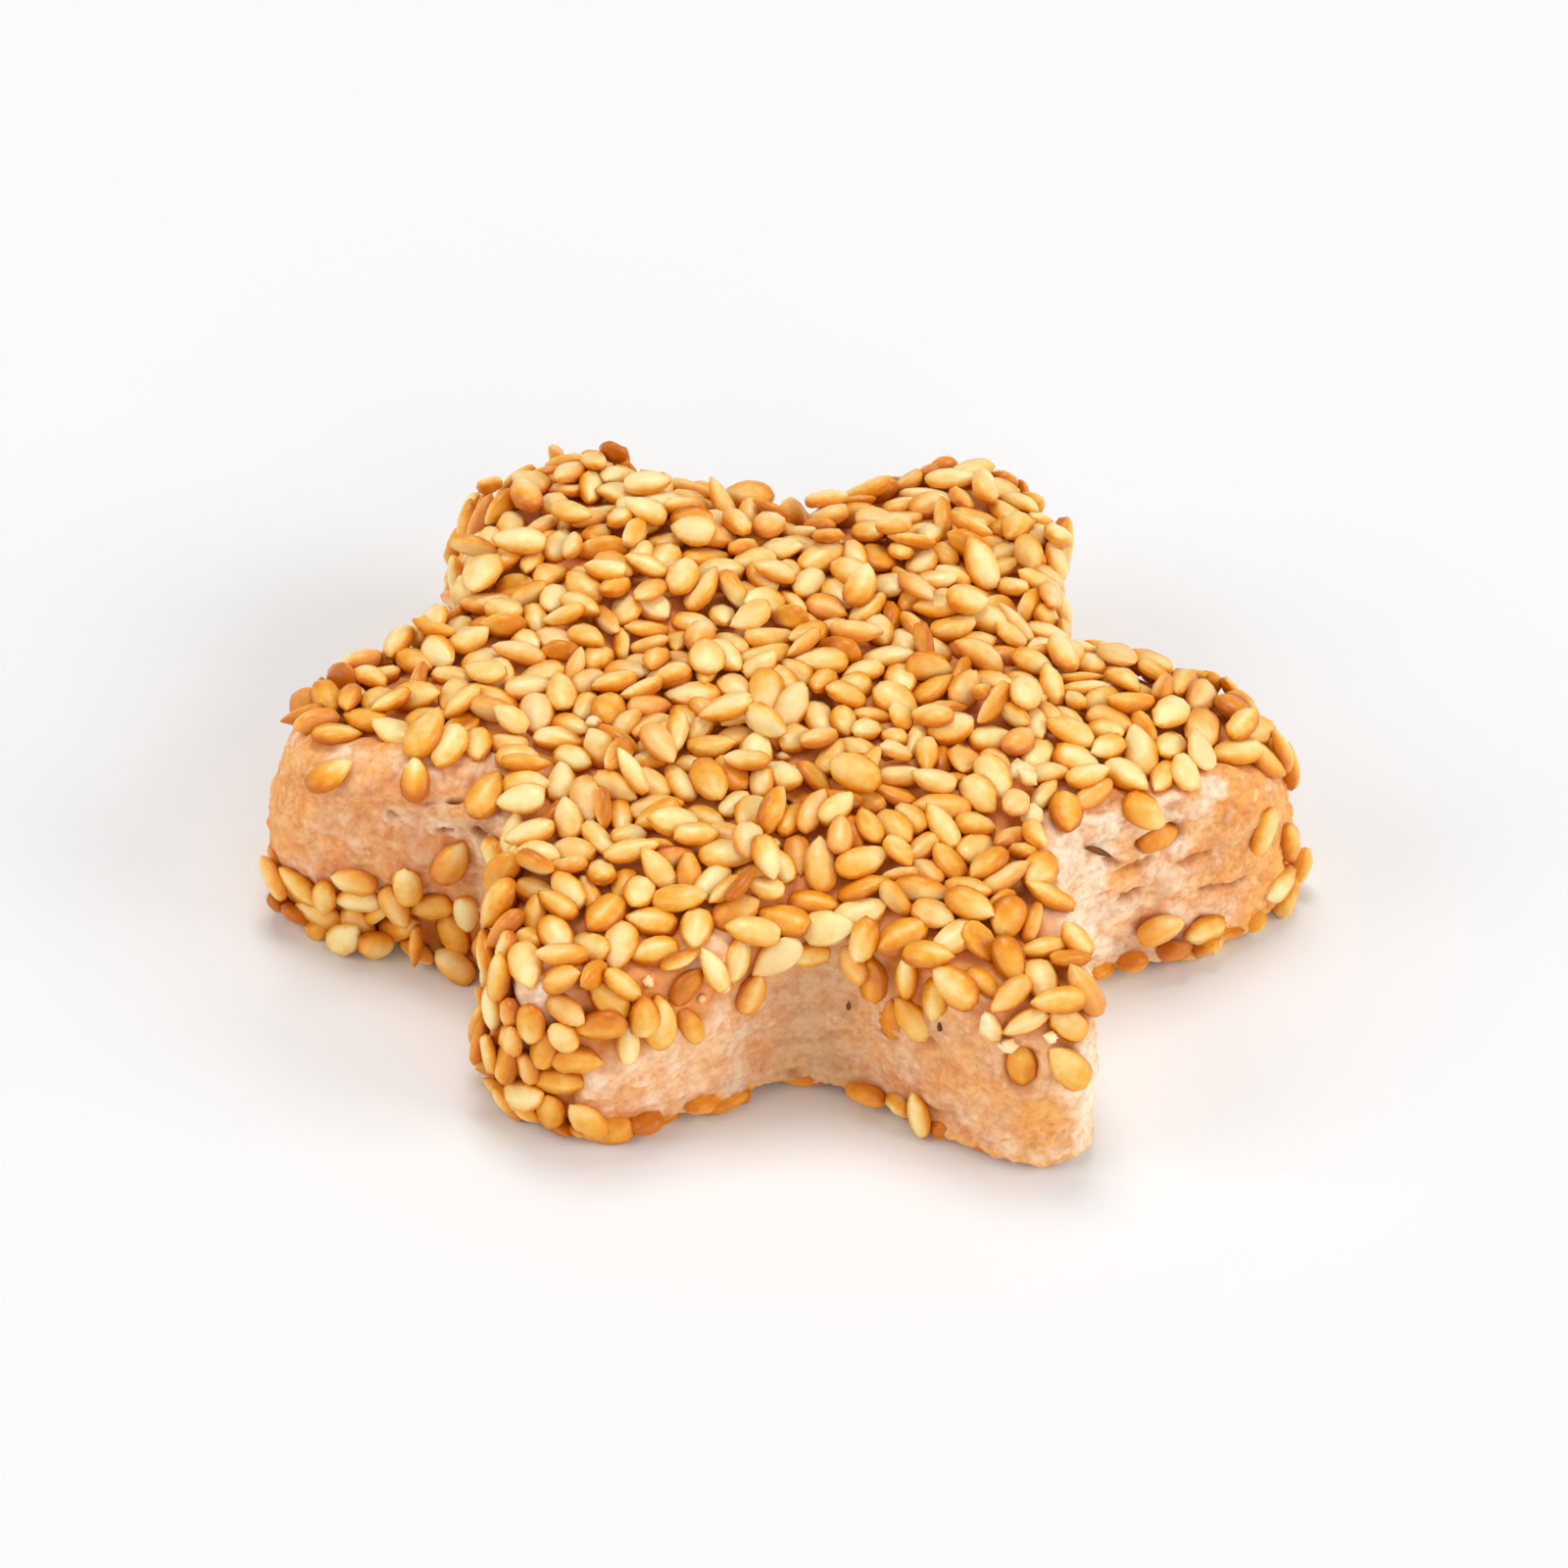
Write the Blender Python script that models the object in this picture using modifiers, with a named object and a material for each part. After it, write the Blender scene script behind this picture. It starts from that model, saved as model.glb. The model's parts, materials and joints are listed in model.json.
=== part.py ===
"""A savory star cookie: one piece of baked dough, six blunt points, domed top, flat base.

Metres, +Z up. The origin is the middle of the base, and the cookie is longest along X.
The solid is the cookie out to the seeds that cover it.
"""

import math
from typing import NamedTuple

import bmesh
import bpy
from mathutils import Matrix, Vector, geometry, noise

MM = 0.001

# Driving dimensions
LENGTH = 63 * MM
HEIGHT = 15 * MM
SHOULDER_HEIGHT = 13 * MM
PILLOW_RISE = 1.0 * MM
PILLOW_SPREAD = 6 * MM
RIM_ROUND = 2.2 * MM
FOOT_ROUND = 0.9 * MM
POINT_REACH = 31 * MM
NOTCH_REACH = 20.3 * MM
POINT_BULGE = 0.8 * MM
NOTCH_UNDERCUT = 0.6 * MM
SWELL = 0.45 * MM
SWELL_SPACING = 11 * MM
SWELL_SEED = 7


class Point(NamedTuple):
    """How a point of the star differs from an even one."""

    reach: float  # share of POINT_REACH
    turn: float  # degrees, counter-clockwise
    bluntness: float  # 1 is blunt, and more is slimmer
    droop: float  # how much lower its top lies, as a share of the height
    flare: float  # how much further out its foot stands than its rim, as a share of POINT_REACH


class Notch(NamedTuple):
    """How a notch of the star differs from an even one."""

    reach: float  # share of NOTCH_REACH
    turn: float  # degrees, counter-clockwise


# Counter-clockwise from the point on +X, each notch after its point
POINTS = (
    Point(reach=0.970, turn=-1.0, bluntness=1.05, droop=0.02, flare=0.06),
    Point(reach=0.980, turn=0.5, bluntness=1.20, droop=0.02, flare=0.00),
    Point(reach=0.995, turn=0.0, bluntness=1.05, droop=0.03, flare=0.01),
    Point(reach=1.015, turn=6.0, bluntness=1.05, droop=0.04, flare=-0.02),
    Point(reach=0.945, turn=-4.0, bluntness=0.95, droop=0.12, flare=-0.01),
    Point(reach=1.015, turn=1.0, bluntness=1.50, droop=0.07, flare=0.035),
)
NOTCHES = (
    Notch(reach=1.00, turn=-2.0),
    Notch(reach=1.06, turn=-1.0),
    Notch(reach=1.12, turn=2.0),
    Notch(reach=1.00, turn=1.0),
    Notch(reach=0.99, turn=1.0),
    Notch(reach=0.99, turn=-5.0),
)

# The cage: spokes along each flank of a point, and rings in each stretch of the profile
FLANK_SPOKES = 4
DOME_RINGS = 6
RIM_RINGS = 4
WALL_RINGS = 2
FOOT_RINGS = 2
BASE_RINGS = 3
SMOOTHING = 1

DOUGH_COLOUR = (0.78, 0.47, 0.18, 1.0)
DOUGH_ROUGHNESS = 0.6


def stations():
    """The angle and reach of each point and notch in turn, and of the first point again."""
    pitch = math.tau / len(POINTS)
    places = []
    for number, (point, notch) in enumerate(zip(POINTS, NOTCHES)):
        places.append((number * pitch + math.radians(point.turn), point.reach * POINT_REACH))
        notch_angle = (number + 0.5) * pitch + math.radians(notch.turn)
        places.append((notch_angle, notch.reach * NOTCH_REACH))
    first_angle, first_reach = places[0]
    return [*places, (first_angle + math.tau, first_reach)]


def star_spokes():
    """The spokes of the star in turn: (angle, reach of the outline, share of point, droop, flare)."""
    places = stations()
    spokes = []
    for flank in range(2 * len(POINTS)):
        leaves_point = flank % 2 == 0
        point = POINTS[(flank + 1) // 2 % len(POINTS)]
        (start_angle, start_reach), (end_angle, end_reach) = places[flank : flank + 2]
        notch_reach, point_reach = sorted((start_reach, end_reach))
        for step in range(FLANK_SPOKES):
            along = step / FLANK_SPOKES
            from_point = along if leaves_point else 1 - along
            pointness = (0.5 + 0.5 * math.cos(math.pi * from_point)) ** point.bluntness
            angle = start_angle + along * (end_angle - start_angle)
            reach = notch_reach + pointness * (point_reach - notch_reach)
            droop, flare = pointness * point.droop, pointness * point.flare * POINT_REACH
            spokes.append((angle, reach, pointness, droop, flare))
    return spokes


def profile():
    """The rings from the crown to the middle of the base: (share of the top, inset, height)."""
    wall_top = SHOULDER_HEIGHT - RIM_ROUND
    rings = [(step / DOME_RINGS, RIM_ROUND, SHOULDER_HEIGHT) for step in range(DOME_RINGS + 1)]
    for step in range(1, RIM_RINGS + 1):
        turn = 0.5 * math.pi * step / RIM_RINGS
        rings.append((1.0, RIM_ROUND * (1 - math.sin(turn)), wall_top + RIM_ROUND * math.cos(turn)))
    for step in range(1, WALL_RINGS + 1):
        down = step / (WALL_RINGS + 1)
        rings.append((1.0, 0.0, wall_top + down * (FOOT_ROUND - wall_top)))
    for step in range(FOOT_RINGS + 1):
        turn = 0.5 * math.pi * step / FOOT_RINGS
        rings.append((1.0, FOOT_ROUND * (1 - math.cos(turn)), FOOT_ROUND * (1 - math.sin(turn))))
    for step in range(BASE_RINGS + 1):
        rings.append((1 - step / BASE_RINGS, 2 * FOOT_ROUND, 0.0))
    return rings


def on_plan(angle, distance):
    """The place at an angle and a distance from the middle, at the base's height."""
    return Vector((distance * math.cos(angle), distance * math.sin(angle), 0.0))


def way_in(place, outline):
    """How far a place lies from the star's outline, both at the base's height."""
    distances = []
    for start, end in zip(outline, outline[1:] + outline[:1]):
        nearest, along = geometry.intersect_point_line(place, start, end)
        if along < 0 or along > 1:
            nearest = start if along < 0 else end
        distances.append((place - nearest).length)
    return min(distances)


def top_height(place, outline):
    """The top at a place: it rises off the shoulder like a pillow, and on to the crown in a dome."""
    inside = min(1.0, max(0.0, way_in(place, outline) - RIM_ROUND) / PILLOW_SPREAD)
    dome = (HEIGHT - SHOULDER_HEIGHT - PILLOW_RISE) * (1 - (place.length / POINT_REACH) ** 2)
    return SHOULDER_HEIGHT + (1 - (1 - inside) ** 2) * (PILLOW_RISE + dome)


def cage_point(spoke, ring, outline):
    """Where one point of the cage lies, before the swells."""
    angle, reach, pointness, droop, flare = spoke
    share, inset, height = ring
    distance = share * (reach - inset)
    if height == SHOULDER_HEIGHT:
        height = top_height(on_plan(angle, distance), outline)
    elif share == 1.0:
        belly = math.sin(math.pi * height / SHOULDER_HEIGHT)
        distance += belly * (POINT_BULGE * pointness - NOTCH_UNDERCUT * (1 - pointness))
        distance += flare * (1 - height / SHOULDER_HEIGHT)
    place = on_plan(angle, distance)
    place.z = height * (1 - droop * (distance / reach) ** 2)
    return place


def swell(place):
    """The low, irregular swells of baked dough, which leave the base flat."""
    lift = min(1.0, place.z / SHOULDER_HEIGHT)
    return noise.noise_vector(place / SWELL_SPACING) * SWELL * lift


def shape_cage(mesh):
    """Moves a ball's rings onto the cookie's profile and its meridians onto the star's spokes."""
    noise.seed_set(SWELL_SEED)
    rings = profile()
    spokes = star_spokes()
    outline = [on_plan(angle, reach) for angle, reach, *_ in spokes]
    bands = len(rings) - 1
    cage = bmesh.new()
    bmesh.ops.create_uvsphere(cage, u_segments=len(spokes), v_segments=bands, radius=1.0)
    for vertex in cage.verts:
        ring = round(math.acos(vertex.co.z) / math.pi * bands)
        spoke = round(math.atan2(vertex.co.y, vertex.co.x) / math.tau * len(spokes)) % len(spokes)
        place = cage_point(spokes[spoke], rings[ring], outline)
        vertex.co = place + swell(place)
    cage.to_mesh(mesh)
    cage.free()


def fit_to_size(cookie):
    """Centres the smoothed cookie over the origin and brings it to LENGTH and HEIGHT."""
    smoothed = cookie.evaluated_get(bpy.context.evaluated_depsgraph_get())
    places = [vertex.co for vertex in smoothed.data.vertices]
    low = Vector([min(place[axis] for place in places) for axis in range(3)])
    high = Vector([max(place[axis] for place in places) for axis in range(3)])
    base_middle = Vector(((low.x + high.x) / 2, (low.y + high.y) / 2, low.z))
    across = LENGTH / (high.x - low.x)
    upward = HEIGHT / (high.z - low.z)
    scale = Matrix.Diagonal((across, across, upward, 1.0))
    cookie.data.transform(scale @ Matrix.Translation(-base_middle))


def dough_material():
    """Pale golden baked dough."""
    material = bpy.data.materials.new("dough")
    material.use_nodes = True
    shader = material.node_tree.nodes["Principled BSDF"]
    shader.inputs["Base Color"].default_value = DOUGH_COLOUR
    shader.inputs["Roughness"].default_value = DOUGH_ROUGHNESS
    shader.inputs["Metallic"].default_value = 0.0
    return material


def build_cookie(collection):
    """The cookie's one solid."""
    mesh = bpy.data.meshes.new("cookie")
    cookie = bpy.data.objects.new("cookie", mesh)
    collection.objects.link(cookie)
    shape_cage(mesh)
    smoothing = cookie.modifiers.new("Smoothing", "SUBSURF")
    smoothing.levels = SMOOTHING
    smoothing.render_levels = SMOOTHING
    fit_to_size(cookie)
    mesh.shade_smooth()
    mesh.materials.append(dough_material())


def clear_scene():
    """Removes whatever the scene already holds."""
    for leftover in list(bpy.data.objects):
        bpy.data.objects.remove(leftover, do_unlink=True)


def main():
    """Builds the cookie in a collection of its own."""
    clear_scene()
    collection = bpy.data.collections.new("savory_star_cookie")
    bpy.context.scene.collection.children.link(collection)
    build_cookie(collection)


main()
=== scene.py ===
"""Looks of a savory star cookie: rough baked dough inside a dense coat of sesame seeds.

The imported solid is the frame. The dough replaces it and lies a seed's height inside its top and
base, and the seeds settle on the dough and on each other until they reach those faces again.
"""

import json
import logging
import math
from collections.abc import Callable
from dataclasses import dataclass, field
from enum import Enum

import bmesh
import bpy
import numpy as np
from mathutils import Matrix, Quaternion, Vector, noise
from mathutils.bvhtree import BVHTree
from mathutils.kdtree import KDTree

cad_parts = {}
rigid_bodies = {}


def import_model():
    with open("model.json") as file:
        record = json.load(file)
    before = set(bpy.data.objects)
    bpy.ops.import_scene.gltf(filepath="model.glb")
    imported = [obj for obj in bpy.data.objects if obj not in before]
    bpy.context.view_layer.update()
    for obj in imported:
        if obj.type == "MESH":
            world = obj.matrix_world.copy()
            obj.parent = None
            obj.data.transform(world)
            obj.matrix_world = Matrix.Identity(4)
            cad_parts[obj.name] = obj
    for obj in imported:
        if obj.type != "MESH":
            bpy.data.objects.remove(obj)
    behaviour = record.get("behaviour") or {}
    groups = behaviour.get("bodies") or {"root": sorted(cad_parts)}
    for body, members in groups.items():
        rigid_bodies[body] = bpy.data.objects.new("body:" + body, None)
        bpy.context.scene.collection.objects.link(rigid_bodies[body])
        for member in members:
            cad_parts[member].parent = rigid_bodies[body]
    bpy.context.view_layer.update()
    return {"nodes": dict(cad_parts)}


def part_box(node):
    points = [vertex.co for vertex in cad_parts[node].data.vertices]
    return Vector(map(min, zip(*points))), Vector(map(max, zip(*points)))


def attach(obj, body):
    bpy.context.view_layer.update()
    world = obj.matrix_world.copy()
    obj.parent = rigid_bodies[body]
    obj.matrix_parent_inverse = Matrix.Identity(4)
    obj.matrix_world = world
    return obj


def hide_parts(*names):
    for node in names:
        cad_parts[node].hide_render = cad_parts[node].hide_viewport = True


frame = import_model()

MM = 0.001
BODY = "root"
NODE = "cookie"
SCATTER_SEED = 23
TINY = 1e-9
HEIGHT = 15 * MM  # from the base to the crown
HALF_WIDTH = 28 * MM  # from the middle to the back
FAR_OFF = 80  # millimetres, well clear of the cookie, for rays to start from

Array = np.ndarray
Colour = tuple[float, float, float, float]
Pair = tuple[float, float]
Triple = tuple[float, float, float]
Table = tuple[tuple[float, float], ...]
Socket = bpy.types.NodeSocket

log = logging.getLogger("star_cookie")


# ---------------------------------------------------------------------------------- helpers


def tone(red: float, green: float, blue: float) -> Colour:
    """Turns a display colour into the linear one that shaders take.

    Args:
        red: the red channel, 0 to 255.
        green: the green channel, 0 to 255.
        blue: the blue channel, 0 to 255.

    Returns:
        The linear channels, 0 to 1, and full opacity.
    """
    channels = []
    for value in (red, green, blue):
        share = value / 255
        channels.append(share / 12.92 if share <= 0.04045 else ((share + 0.055) / 1.055) ** 2.4)
    return (*channels, 1.0)


def ease(values: Array, low: float, high: float) -> Array:
    """Values turned into a smooth step from 0 at low to 1 at high."""
    share = np.clip((values - low) / (high - low), 0.0, 1.0)
    return share * share * (3 - 2 * share)


def unit(vectors: Array) -> Array:
    """The vectors of the last axis at length 1."""
    return vectors / np.maximum(np.linalg.norm(vectors, axis=-1, keepdims=True), 1e-12)


def rough(
    places: Array, spacing: Triple, octaves: int, evenness: float = 0.9, finer: float = 2.1
) -> Array:
    """Fractal noise, about -1 to 1, at each place.

    Args:
        places: points in metres, one a row.
        spacing: the size of the broadest lumps along X, Y and Z, in metres.
        octaves: how many finer layers are added up.
        evenness: how soon the finer layers fade out.
        finer: how much finer each layer is than the one before.

    Returns:
        One value for each place.
    """
    rows = (places / np.array(spacing)).tolist()
    return np.array([noise.fractal(Vector(row), evenness, finer, octaves) for row in rows])


def select_only(piece: bpy.types.Object) -> None:
    """Makes one object the only selected one, and the active one.

    Args:
        piece: the object to select.
    """
    for other in bpy.context.view_layer.objects:
        other.select_set(False)
    piece.select_set(True)
    bpy.context.view_layer.objects.active = piece


def apply_modifier(piece: bpy.types.Object, kind: str, **settings: float | str) -> None:
    """Adds one modifier to a piece and applies it.

    Args:
        piece: the object to change.
        kind: the modifier's type, as Blender names it.
        settings: the modifier's own settings.
    """
    select_only(piece)
    modifier = piece.modifiers.new(kind.title(), kind)
    for name, value in settings.items():
        setattr(modifier, name, value)
    bpy.ops.object.modifier_apply(modifier=modifier.name)


def vertex_array(mesh: bpy.types.Mesh) -> Array:
    """Reads where a mesh's vertices are.

    Args:
        mesh: the mesh to read.

    Returns:
        Their places in metres, one a row.
    """
    flat = np.empty(len(mesh.vertices) * 3)
    mesh.vertices.foreach_get("co", flat)
    return flat.reshape(-1, 3)


def normal_array(mesh: bpy.types.Mesh) -> Array:
    """Reads which way a mesh faces at its vertices.

    Args:
        mesh: the mesh to read.

    Returns:
        Its normals, one a row.
    """
    flat = np.empty(len(mesh.vertices) * 3)
    mesh.vertex_normals.foreach_get("vector", flat)
    return flat.reshape(-1, 3)


def put_vertices(mesh: bpy.types.Mesh, places: Array) -> None:
    """Moves a mesh's vertices to new places."""
    mesh.vertices.foreach_set("co", places.ravel())
    mesh.update()


def put_attribute(mesh: bpy.types.Mesh, name: str, values: Array) -> None:
    """Stores one number a vertex, for the material to read."""
    attribute = mesh.attributes.new(name, "FLOAT", "POINT")
    attribute.data.foreach_set("value", np.asarray(values, dtype=np.float32))


def around(turns: Array, table: Table) -> Array:
    """Values read off a table of (degrees, value) in each direction."""
    return np.interp(turns, *zip(*table))


# -------------------------------------------------------------------------------- materials


class Shader:
    """A node material in the making, around one Principled shader."""

    # How far red, green and blue light get into a surface that glows
    light_reach: Triple = (1.0, 0.45, 0.2)

    def __init__(self, name: str) -> None:
        """Starts a material.

        Args:
            name: the material's name.
        """
        self.material = bpy.data.materials.new(name)
        self.material.use_nodes = True
        self.tree = self.material.node_tree
        self.surface = self.tree.nodes["Principled BSDF"]
        coordinates = self.tree.nodes.new("ShaderNodeTexCoord")
        self.place = coordinates.outputs["Object"]

    def set(self, **sockets: float) -> None:
        """Sets constants on the shader's own sockets, with _ for each space in a name."""
        for name, value in sockets.items():
            self.surface.inputs[name.replace("_", " ")].default_value = value

    def link(self, output: Socket, target: Socket) -> None:
        """Joins two sockets."""
        self.tree.links.new(output, target)

    def attribute(self, name: str) -> Socket:
        """Reads a number that the mesh stores.

        Args:
            name: the name that it is stored under.

        Returns:
            The socket that gives it.
        """
        node = self.tree.nodes.new("ShaderNodeAttribute")
        node.attribute_name = name
        return node.outputs["Fac"]

    def noise(self, size: float, stretch: Triple = (1, 1, 1), detail: float = 3.0) -> Socket:
        """Makes noise in the piece's own coordinates.

        Args:
            size: how far across its lumps are, in metres.
            stretch: how far they are drawn out along X, Y and Z.
            detail: how many finer layers it has.

        Returns:
            The socket that gives it, 0 to 1.
        """
        mapping = self.tree.nodes.new("ShaderNodeMapping")
        mapping.inputs["Scale"].default_value = [1 / (size * share) for share in stretch]
        self.link(self.place, mapping.inputs["Vector"])
        texture = self.tree.nodes.new("ShaderNodeTexNoise")
        texture.inputs["Scale"].default_value = 1.0
        texture.inputs["Detail"].default_value = detail
        self.link(mapping.outputs["Vector"], texture.inputs["Vector"])
        return texture.outputs["Fac"]

    def math(self, step: str, first: Socket, second: Socket | float, clamp: bool = False) -> Socket:
        """Does one step of arithmetic.

        Args:
            step: the operation, as Blender names it.
            first: the value that it works on.
            second: the other value, a socket or a fixed number.
            clamp: whether the result is kept between 0 and 1.

        Returns:
            The socket that gives the result.
        """
        node = self.tree.nodes.new("ShaderNodeMath")
        node.operation = step
        node.use_clamp = clamp
        for socket, value in zip(node.inputs, (first, second)):
            self._feed(socket, value)
        return node.outputs[0]

    def spread(self, value: Socket, low: float, high: float) -> Socket:
        """Stretches a value to a smooth step.

        Args:
            value: the value to stretch.
            low: where the step starts, which becomes 0.
            high: where it ends, which becomes 1.

        Returns:
            The socket that gives the result.
        """
        node = self.tree.nodes.new("ShaderNodeMapRange")
        node.interpolation_type = "SMOOTHSTEP"
        node.inputs["From Min"].default_value = low
        node.inputs["From Max"].default_value = high
        self.link(value, node.inputs["Value"])
        return node.outputs["Result"]

    def ramp(self, value: Socket, *stops: tuple[float, Colour]) -> Socket:
        """Reads a colour off a scale.

        Args:
            value: where on the scale to read, 0 to 1.
            stops: the colours of the scale, each with its position.

        Returns:
            The socket that gives the colour.
        """
        node = self.tree.nodes.new("ShaderNodeValToRGB")
        elements = node.color_ramp.elements
        while len(elements) < len(stops):
            elements.new(1.0)
        for element, (position, colour) in zip(elements, stops):
            element.position = position
            element.color = colour
        self.link(value, node.inputs["Fac"])
        return node.outputs["Color"]

    def mix(
        self, share: Socket | float, first: Socket | Colour, second: Socket | Colour, blend: str = "MIX"
    ) -> Socket:
        """Mixes two colours.

        Args:
            share: how much of the second there is, 0 to 1.
            first: the colour below.
            second: the colour on top.
            blend: how they mix, as Blender names it.

        Returns:
            The socket that gives the mixed colour.
        """
        node = self.tree.nodes.new("ShaderNodeMix")
        node.data_type = "RGBA"
        node.blend_type = blend
        named = {socket.identifier: socket for socket in node.inputs}
        for key, value in (("Factor_Float", share), ("A_Color", first), ("B_Color", second)):
            self._feed(named[key], value)
        return next(socket for socket in node.outputs if socket.identifier == "Result_Color")

    def _feed(self, target: Socket, value: Socket | float | Colour) -> None:
        """Gives an input its value.

        Args:
            target: the input.
            value: a socket to link to it, or a constant.
        """
        if isinstance(value, (int, float, tuple)):
            target.default_value = value
        else:
            self.link(value, target)

    def colour(self, output: Socket) -> None:
        """Gives the surface its colour."""
        self.link(output, self.surface.inputs["Base Color"])

    def glow(self, share: float, depth: float) -> None:
        """Lets light a little way into the surface, furthest at the red end."""
        self.set(Subsurface_Weight=share, Subsurface_Scale=depth)
        self.surface.inputs["Subsurface Radius"].default_value = self.light_reach

    def bump(self, height: Socket, depth: float) -> None:
        """Gives the surface relief.

        Args:
            height: the socket that gives its shape, 0 to 1.
            depth: how deep it is, in metres.
        """
        node = self.tree.nodes.new("ShaderNodeBump")
        node.inputs["Distance"].default_value = depth
        self.link(height, node.inputs["Height"])
        self.link(node.outputs["Normal"], self.surface.inputs["Normal"])


@dataclass(frozen=True)
class DoughFinish:
    """Baked dough: soft patches of tan, pink and cream, with a fine grain, dark specks, and painted
    shade in its crevices and notches.
    """

    cream: Colour = tone(255, 234, 206)
    tan: Colour = tone(246, 188, 128)
    pink: Colour = tone(236, 160, 110)
    golden: Colour = tone(250, 182, 96)
    # Greyish tone for the painted shade in notches and dents, and for duller patches
    dull: Colour = tone(216, 172, 128)
    under_pink: Colour = tone(236, 158, 92)
    under_brown: Colour = tone(214, 124, 24)
    # Dark brown for the baked specks, and for the painted shade in crevices
    crust_and_shade: Colour = tone(170, 94, 34)
    soft_shade: Colour = tone(238, 216, 196)
    grain_shade: Colour = tone(240, 226, 212)
    no_shade: Colour = tone(255, 255, 255)
    # Each pattern's size, the band of its noise that it fades in over, and how strong it is
    patch_size: float = 2.4 * MM
    patch_stretch: Triple = (1, 1, 0.7)
    patch_band: Pair = (0.38, 0.62)
    soft_size: float = 1.1 * MM
    soft_band: Pair = (0.34, 0.58)
    soft_strength: float = 0.8
    grain_size: float = 0.36 * MM
    grain_band: Pair = (0.36, 0.54)
    grain_strength: float = 0.6
    grain_depth: float = 0.04 * MM
    flour_size: float = 0.8 * MM
    flour_band: Pair = (0.58, 0.72)
    flour_strength: float = 0.30
    baked_size: float = 1.6 * MM
    baked_band: Pair = (0.36, 0.58)
    speck_size: float = 0.5 * MM
    speck_band: Pair = (0.75, 0.80)
    speck_strength: float = 0.4
    roughness: float = 0.66
    gloss: float = 0.3
    glow_share: float = 0.20
    glow_depth: float = 0.9 * MM

    def material(self) -> bpy.types.Material:
        """Makes the dough's material, which reads the numbers that its mesh stores.

        Returns:
            The finished material.
        """
        shader = Shader("baked_dough")
        patches = shader.noise(self.patch_size, self.patch_stretch, 2.0)
        side = shader.mix(shader.spread(patches, *self.patch_band), self.tan, self.pink)
        side = shader.mix(shader.attribute("cream"), side, self.cream)
        # Painted shade in the notches and dents, and duller patches
        side = shader.mix(shader.attribute("dull"), side, self.dull)
        side = shader.mix(shader.attribute("bake"), side, self.golden)
        soft = shader.noise(self.soft_size, detail=4.0)
        shade = shader.ramp(soft, *zip(self.soft_band, (self.soft_shade, self.no_shade)))
        side = shader.mix(self.soft_strength, side, shade, "MULTIPLY")
        grain = shader.noise(self.grain_size)
        shade = shader.ramp(grain, *zip(self.grain_band, (self.grain_shade, self.no_shade)))
        side = shader.mix(self.grain_strength, side, shade, "MULTIPLY")
        flour = shader.spread(shader.noise(self.flour_size), *self.flour_band)
        side = shader.mix(shader.math("MULTIPLY", flour, self.flour_strength), side, self.cream)
        baked = shader.spread(shader.noise(self.baked_size), *self.baked_band)
        under = shader.mix(baked, self.under_brown, self.under_pink)
        body = shader.mix(shader.attribute("coat"), side, under)
        specks = shader.spread(shader.noise(self.speck_size, detail=1.0), *self.speck_band)
        body = shader.mix(shader.math("MULTIPLY", specks, self.speck_strength), body, self.crust_and_shade)
        # Painted shade in the pits, cracks, dents and creases
        body = shader.mix(shader.attribute("crevice"), body, self.crust_and_shade)
        shader.colour(body)
        shader.set(Roughness=self.roughness, Specular_IOR_Level=self.gloss)
        shader.glow(self.glow_share, self.glow_depth)
        shader.bump(grain, self.grain_depth)
        return shader.material


@dataclass(frozen=True)
class SeedFinish:
    """Toasted sesame: one scale of colour from pale to deep, walked by each seed's own toast and its
    painted shade.
    """

    name: str
    palest: Colour = tone(253, 230, 164)
    pale: Colour = tone(250, 207, 122)
    golden: Colour = tone(243, 174, 56)
    amber: Colour = tone(230, 140, 16)
    brown: Colour = tone(202, 110, 2)
    blush: Colour = tone(240, 160, 104)
    roughness: float = 0.34
    gloss: float = 0.45
    mottle_size: float = 0.8 * MM
    mottle_strength: float = 0.55
    grain_size: float = 0.25 * MM
    grain_depth: float = 0.03 * MM
    glow_share: float = 0.15
    glow_depth: float = 0.5 * MM

    def material(self) -> bpy.types.Material:
        """Makes the seeds' material, which reads the toast, with its painted shade, and the blush that
        their mesh stores.

        Returns:
            The finished material.
        """
        shader = Shader(self.name)
        mottle = shader.math("SUBTRACT", shader.noise(self.mottle_size), 0.5)
        mottled = shader.math("MULTIPLY", mottle, self.mottle_strength)
        # The stored toast holds painted shade under, between and inside the seeds
        toast = shader.math("ADD", shader.attribute("toast"), mottled, clamp=True)
        colours = (self.palest, self.pale, self.golden, self.amber, self.brown)
        stops = zip((0.0, 0.25, 0.5, 0.75, 1.0), colours)
        body = shader.mix(shader.attribute("blush"), shader.ramp(toast, *stops), self.blush)
        shader.colour(body)
        shader.set(Roughness=self.roughness, Specular_IOR_Level=self.gloss)
        shader.glow(self.glow_share, self.glow_depth)
        shader.bump(shader.noise(self.grain_size), self.grain_depth)
        return shader.material


# ------------------------------------------------------------------------------- the frame


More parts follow.
